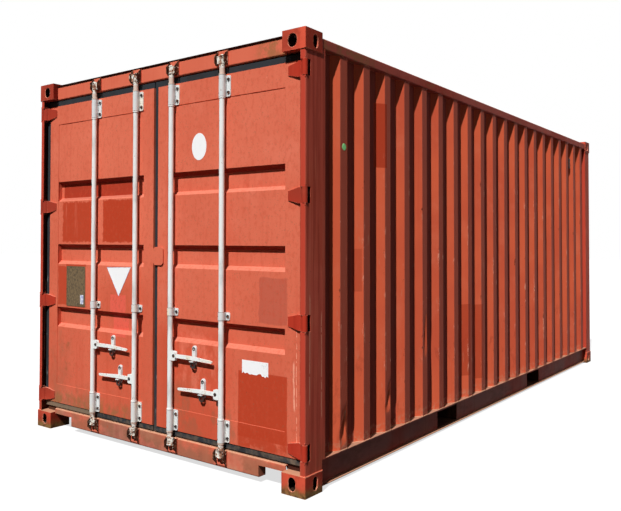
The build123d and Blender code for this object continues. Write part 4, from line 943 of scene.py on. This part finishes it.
def sticker(name, outline, paint, body):
    """A flat shape on a door panel, its outline in (y, z)."""
    bm = bmesh.new()
    face = bm.faces.new([bm.verts.new((PANEL_FACE, y, z)) for y, z in outline])
    made = bmesh.ops.extrude_face_region(bm, geom=[face])
    moved = [item for item in made["geom"] if isinstance(item, bmesh.types.BMVert)]
    bmesh.ops.translate(bm, verts=moved, vec=(-STICKER_SHEET, 0, 0))
    finished(name, bm, paint, body)


def torn_edge():
    """The label's lower edge from right to left, torn, and lower at its right end."""
    edge = []
    for number in range(TORN_POINTS + 1):
        across = LABEL_RIGHT + (LABEL_LEFT - LABEL_RIGHT) * number / TORN_POINTS
        level = LABEL_BOTTOM + random.uniform(*TORN_REACH)
        if number < TORN_LOW_POINTS:
            level -= TORN_DROP
        edge.append((across, level))
    return edge


def stickers():
    """Bare shapes on the doors and the wall."""
    oval = around(OVAL_CENTRE, round_outline(*OVAL_HALVES, OVAL_POINTS)[:-1], 0, 1)
    sticker("oval_sticker", oval, "white", "right_door")
    label = [(LABEL_LEFT, LABEL_TOP), (LABEL_RIGHT, LABEL_TOP), *torn_edge()]
    sticker("torn_label", label, "paper", "right_door")
    sticker("triangle_sticker", TRIANGLE, "white", "left_door")
    bm = bmesh.new()
    for (y0, z0), (y1, z1) in zip(TRIANGLE, TRIANGLE[1:] + TRIANGLE[:1]):
        run = [(TRIANGLE_RIM_FACE, y0, z0), (TRIANGLE_RIM_FACE, y1, z1)]
        bead(bm, run, *TRIANGLE_RIM)
    finished("triangle_rim", bm, "pale_tag", "left_door")
    bm = bmesh.new()
    disc(bm, DOT_PLACE, (0, -1, 0), DOT)
    finished("green_dot", bm, "green")


PLATE_Y = (0.727, 0.937)
PLATE_Z = (0.925, 1.213)
PLATE_FACE = PANEL_FACE - 0.0025
PLATE_EDGE = 0.0008
PLATE_RIM_X = (PLATE_FACE, PLATE_FACE - 0.0015)
PLATE_RIM_HALF = 0.003
PLATE_RIM_EDGE = 0.0006
RIVET_INSET = 0.014
RIVET = (0.005, 0.002, 12, 0.7)
TAG_X = (PLATE_FACE, PLATE_FACE - 0.005)
TAG_Y = (0.739, 0.775)
TAG_Z = (0.941, 1.008)
TAG_EDGE = 0.0015


def tag_plate():
    """A weathered plate on the left leaf, with a rim, rivets and a pale tag in its corner."""
    bm = bmesh.new()
    slab(bm, (PANEL_FACE, PLATE_FACE), PLATE_Y, PLATE_Z, PLATE_EDGE)
    for y in PLATE_Y:
        slab(bm, PLATE_RIM_X, (y - PLATE_RIM_HALF, y + PLATE_RIM_HALF), PLATE_Z, PLATE_RIM_EDGE)
    for z in PLATE_Z:
        slab(bm, PLATE_RIM_X, PLATE_Y, (z - PLATE_RIM_HALF, z + PLATE_RIM_HALF), PLATE_RIM_EDGE)
    for y in (PLATE_Y[LOW] + RIVET_INSET, PLATE_Y[HIGH] - RIVET_INSET):
        for z in (PLATE_Z[LOW] + RIVET_INSET, PLATE_Z[HIGH] - RIVET_INSET):
            disc(bm, (PLATE_FACE, y, z), OUTWARD, RIVET)
    finished("tag_plate", bm, "plate", "left_door")
    bm = bmesh.new()
    slab(bm, TAG_X, TAG_Y, TAG_Z, TAG_EDGE)
    finished("pale_tag", bm, "pale_tag", "left_door")


# Frame: welds at the castings and along the walls
FRAME_WELD_RADIUS = 0.004
HEAD_WELD_RADIUS = 0.003
POST_WELD_RADIUS = 0.0045
FRAME_WELD_STEP = 0.02
RAIL_WELDS = ((0.03, CASTING_TOP - 0.004, 0.046), (CASTING_UNDER + 0.02, 2.55, 0.001))


def wall_line(sign, level):
    """The outer line of a side wall at a level, from the door post to the rear casting."""
    inner, outer = sign * WALL_INNER, sign * WALL_OUTER
    far = WALL_CREST_HALF + WALL_SLOPE
    points = [(POST_REAR, inner, level)]
    for number in range(WALL_CRESTS):
        crest = WALL_FIRST_CREST + number * WALL_PITCH
        points.append((crest - far, inner, level))
        points.append((crest - WALL_CREST_HALF, outer, level))
        points.append((crest + WALL_CREST_HALF, outer, level))
        points.append((crest + far, inner, level))
    points.append((CASTING_X, inner, level))
    return points


def wall_welds(side, sign):
    """Beads along the foot and the head of a side wall."""
    for end, level, radius, paint in (("foot", WALL_BOTTOM + SINK, FRAME_WELD_RADIUS, "wall_weld"),
                                      ("head", WALL_TOP - SINK, HEAD_WELD_RADIUS, "top_rail")):
        bm = bmesh.new()
        bead(bm, wall_line(sign, level), radius)
        finished(f"{side}_wall_{end}_weld", bm, paint)


def casting_welds(side, sign):
    """Beads where the posts and rails meet the castings."""
    bm = bmesh.new()
    front = POST_FACE + SINK
    face = sign * (SIDE_FACE - SINK)
    for level in (CASTING_TOP, CASTING_UNDER):
        for way, start in ((1, SIDE_FACE - POST_LIP), (-1, CASTING_Y)):
            end = way * front
            points = [(end, sign * start, level), (end, face, level), (-way * CASTING_X, face, level)]
            bead(bm, points, POST_WELD_RADIUS, FRAME_WELD_STEP)
    for way in (-1, 1):
        for low, high, inset in RAIL_WELDS:
            rail = sign * (SIDE_FACE - inset)
            points = [(way * CASTING_X, rail, low), (way * CASTING_X, rail, high)]
            bead(bm, points, FRAME_WELD_RADIUS, FRAME_WELD_STEP)
    finished(f"{side}_casting_welds", bm, "weld")


# Castings: the worn rims of their face holes, and a closing plate on each one under the doors
HOLE_FROM_SIDE = 0.0895
HOLE_FROM_END = 0.1025
HOLE_LEVEL = 0.063
HOLE_HEIGHT = 0.0795
BOTTOM_HOLE = 0.051
TOP_HOLE = 0.0635
HOLE_POINTS = 12
RIM_RADIUS = 0.0024
RIM_DEPTH = 0.003
CLOSING_X = (HEADER_FACE + 0.026, HEADER_FACE + 0.032)
CLOSING_INNER = CASTING_Y - 0.01
CLOSING_OUTER = SIDE_FACE - 0.04
CLOSING_Z = (CASTING_TOP, CASTING_TOP + 0.028)
CLOSING_EDGE = 0.001


def slot_rim(bm, centre, axis, width):
    """A bead round an upright slot in the plane of an axis and Z."""
    radius = width / 2
    rise = HOLE_HEIGHT / 2 - radius
    half_turn = [math.pi * number / HOLE_POINTS for number in range(HOLE_POINTS + 1)]
    upper = [(radius * math.cos(angle), rise + radius * math.sin(angle)) for angle in half_turn]
    lower = [(-across, -up) for across, up in upper]
    bead(bm, around(centre, upper + lower + upper[:1], axis, 2), RIM_RADIUS, RING_STEP)


def casting_rims():
    """The rims of the holes in the end and side faces of all castings."""
    bm = bmesh.new()
    for level, width in ((HOLE_LEVEL, BOTTOM_HOLE), (CONTAINER_TOP - HOLE_LEVEL, TOP_HOLE)):
        for way in (-1, 1):
            for sign in (-1, 1):
                end = (way * (HALF_LENGTH - RIM_DEPTH), sign * (HALF_WIDTH - HOLE_FROM_SIDE), level)
                slot_rim(bm, end, 1, width)
                side = (way * (HALF_LENGTH - HOLE_FROM_END), sign * (HALF_WIDTH - RIM_DEPTH), level)
                slot_rim(bm, side, 0, BOTTOM_HOLE)
    finished("casting_hole_rims", bm, "rim")


def corner_plates():
    """A plate on each bottom casting of the door end closes the corner behind the sill's end."""
    bm = bmesh.new()
    for sign in (-1, 1):
        slab(bm, CLOSING_X, (sign * CLOSING_INNER, sign * CLOSING_OUTER), CLOSING_Z, CLOSING_EDGE)
    finished("corner_plates", bm, "underframe")


# The right wall was struck low down: x, z, half width, half height, depth, lean
DENTS = (
    (-2.598, 0.315, 0.052, 0.14, 0.02, 0.22),
    (-2.036, 0.4, 0.045, 0.12, 0.017, 0.3),
    (-1.486, 0.74, 0.034, 0.19, 0.012, 0.05),
    (-1.945, 0.215, 0.05, 0.04, 0.01, 0.00),
)
DENT_CUTS = 7
JOIN_REACH = 0.00001
SLIVER = 0.0001


def dent_depth(place):
    """How far the wall is pushed in at a place."""
    depth_here = 0.0
    for x, z, half_x, half_z, depth, lean in DENTS:
        along = (place.z - z) / half_z
        across = (place.x - x - lean * (place.z - z)) / half_x
        if abs(along) < 1 and abs(across) < 1:
            depth_here += depth * (1 - abs(across)) * (1 - along * along) ** 2
    return depth_here


def dented_wall():
    """The right side wall with the creases that blows have left in it."""
    bm = bmesh.new()
    bm.from_mesh(NODES["right_side_wall"].data)
    bmesh.ops.remove_doubles(bm, verts=bm.verts, dist=JOIN_REACH)
    for x, z, half_x, half_z, depth, lean in DENTS:
        reach = half_x + lean * half_z
        for number in range(DENT_CUTS * 2 + 1):
            share = number / DENT_CUTS - 1
            for place, normal in (((x + share * reach, 0, 0), (1, 0, 0)),
                                  ((0, 0, z + share * half_z), (0, 0, 1))):
                geometry = bm.verts[:] + bm.edges[:] + bm.faces[:]
                bmesh.ops.bisect_plane(bm, geom=geometry, dist=SLIVER, plane_co=place, plane_no=normal)
    bmesh.ops.remove_doubles(bm, verts=bm.verts, dist=SLIVER)
    bmesh.ops.dissolve_degenerate(bm, edges=bm.edges, dist=SLIVER)
    for vert in bm.verts:
        vert.co.y += dent_depth(vert.co)
    piece = finished("right_wall_dented", bm, "wall", smooth_angle=20.0)
    for polygon in piece.data.polygons:
        polygon.use_smooth = dent_depth(polygon.center) > 0
    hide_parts("right_side_wall")


# Vents and floor
SLATS = 3
SLAT_INSET = 0.006
SLAT_THICKNESS = 0.004
SLAT_SHARE = 0.2
SLAT_EDGE = 0.0012
FLOOR_SHEETS = 5
FLOOR_JOINT = 0.003
FLOOR_EDGE = 0.0015
FLOOR_SCREW = (0.007, 0.0008, 12, 0.88)
SCREW_ROWS = 18
SCREWS_ACROSS = 8


def vent_slats():
    low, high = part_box("side_vents")
    bm = bmesh.new()
    height = (high[2] - low[2]) / SLATS
    for sign in SIDES.values():
        back = sign * (high[1] - SINK)
        for number in range(SLATS):
            level = low[2] + height * (number + 0.5)
            slab(bm, (low[0] + SLAT_INSET, high[0] - SLAT_INSET), (back, back + sign * SLAT_THICKNESS),
                 (level - height * SLAT_SHARE, level + height * SLAT_SHARE), SLAT_EDGE)
    finished("vent_slats", bm, "plastic")


def floor_sheets():
    """Plywood sheets with joints between them, and their screws over the cross members."""
    low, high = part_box("floor_boards")
    gap = FLOOR_JOINT / 2
    length = (high[0] - low[0]) / FLOOR_SHEETS
    bm = bmesh.new()
    for number in range(FLOOR_SHEETS):
        x = (low[0] + number * length + gap, low[0] + (number + 1) * length - gap)
        for y in ((low[1], -gap), (gap, high[1])):
            slab(bm, x, y, (low[2], high[2]), FLOOR_EDGE)
    piece = finished("floor_sheets", bm, "ply")
    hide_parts("floor_boards")
    bm = bmesh.new()
    for row in range(SCREW_ROWS):
        x = low[0] + (high[0] - low[0]) * (row + 0.5) / SCREW_ROWS
        for column in range(SCREWS_ACROSS):
            y = low[1] + (high[1] - low[1]) * (column + 0.5) / SCREWS_ACROSS
            disc(bm, (x, y, high[2]), (0, 0, 1), FLOOR_SCREW)
    finished("floor_screws", bm, "bolt")


for side, sign in SIDES.items():
    panel_welds(side, sign)
    bracket_bolts(side)
    wall_welds(side, sign)
    casting_welds(side, sign)
for rod in RODS:
    rod_details(rod)
casting_rims()
corner_plates()
stickers()
tag_plate()
dented_wall()
vent_slats()
floor_sheets()


# Floor, background, lamps and camera
def grey(level):
    return (level, level, level, 1)


def seen_rays(nodes):
    """1 for a ray of the camera, or one that gloss or glass sends on."""
    rays = nodes.add("ShaderNodeLightPath", {}).outputs
    most = rays["Is Camera Ray"]
    for ray in ("Is Glossy Ray", "Is Transmission Ray"):
        most = nodes.math("MAXIMUM", most, rays[ray])
    return most


def feed_by_ray(nodes, socket, other, seen):
    """Feeds a socket one colour for most rays and another for those that show the background."""
    nodes.feed(socket, nodes.mix(seen_rays(nodes), other, seen))


def floor_material():
    material = bpy.data.materials.new("floor_white")
    material.use_nodes = True
    nodes = Nodes(material.node_tree)
    inputs = nodes.tree.nodes["Principled BSDF"].inputs
    inputs["Roughness"].default_value = 1.0
    inputs["Specular IOR Level"].default_value = 0.0
    inputs["Emission Strength"].default_value = 1.0
    feed_by_ray(nodes, inputs["Base Color"], grey(FLOOR_BOUNCE), grey(FLOOR_LEVEL))
    feed_by_ray(nodes, inputs["Emission Color"], grey(0.0), grey(FLOOR_GLOW))
    return material


def make_stage():
    mesh = bpy.data.meshes.new("floor")
    corners = [(across * FLOOR_HALF, along * FLOOR_HALF, 0)
               for across, along in ((-1, -1), (1, -1), (1, 1), (-1, 1))]
    mesh.from_pydata(corners, [], [(0, 1, 2, 3)])
    mesh.materials.append(floor_material())
    placed("floor", mesh)


def make_world():
    world = bpy.data.worlds.new("studio")
    bpy.context.scene.world = world
    world.use_nodes = True
    nodes = Nodes(world.node_tree)
    socket = nodes.tree.nodes["Background"].inputs["Color"]
    sky = (*[value * SKY_STRENGTH for value in SKY_COLOUR], 1)
    feed_by_ray(nodes, socket, sky, grey(BACKGROUND_LEVEL))


def make_lamp(name, come_from, strength, width):
    lamp = bpy.data.lights.new(name, "SUN")
    lamp.energy = strength
    lamp.angle = math.radians(width)
    placed(name, lamp).rotation_euler = Vector(come_from).to_track_quat("Z", "Y").to_euler()


def make_camera():
    lens = bpy.data.cameras.new("camera")
    lens.sensor_fit = "HORIZONTAL"
    lens.sensor_width = SENSOR_WIDTH
    lens.lens = FOCAL_PIXELS / PICTURE_WIDTH * SENSOR_WIDTH
    lens.shift_x = (PICTURE_WIDTH / 2 - VIEW_CENTRE[0]) / PICTURE_WIDTH
    lens.shift_y = (VIEW_CENTRE[1] - PICTURE_HEIGHT / 2) / PICTURE_WIDTH
    lens.clip_end = VIEW_END
    camera = placed("camera", lens)
    matrix = Matrix.Translation(CAMERA_PLACE)
    for angle, axis in ((CAMERA_AZIMUTH, "Z"), (90 + CAMERA_ELEVATION, "X"), (CAMERA_ROLL, "Z")):
        matrix = matrix @ Matrix.Rotation(math.radians(angle), 4, axis)
    camera.matrix_world = matrix
    bpy.context.scene.camera = camera


make_stage()
make_world()
for name, settings in LAMPS.items():
    make_lamp(name, *settings)
make_camera()
bpy.context.scene.view_settings.view_transform = "Standard"
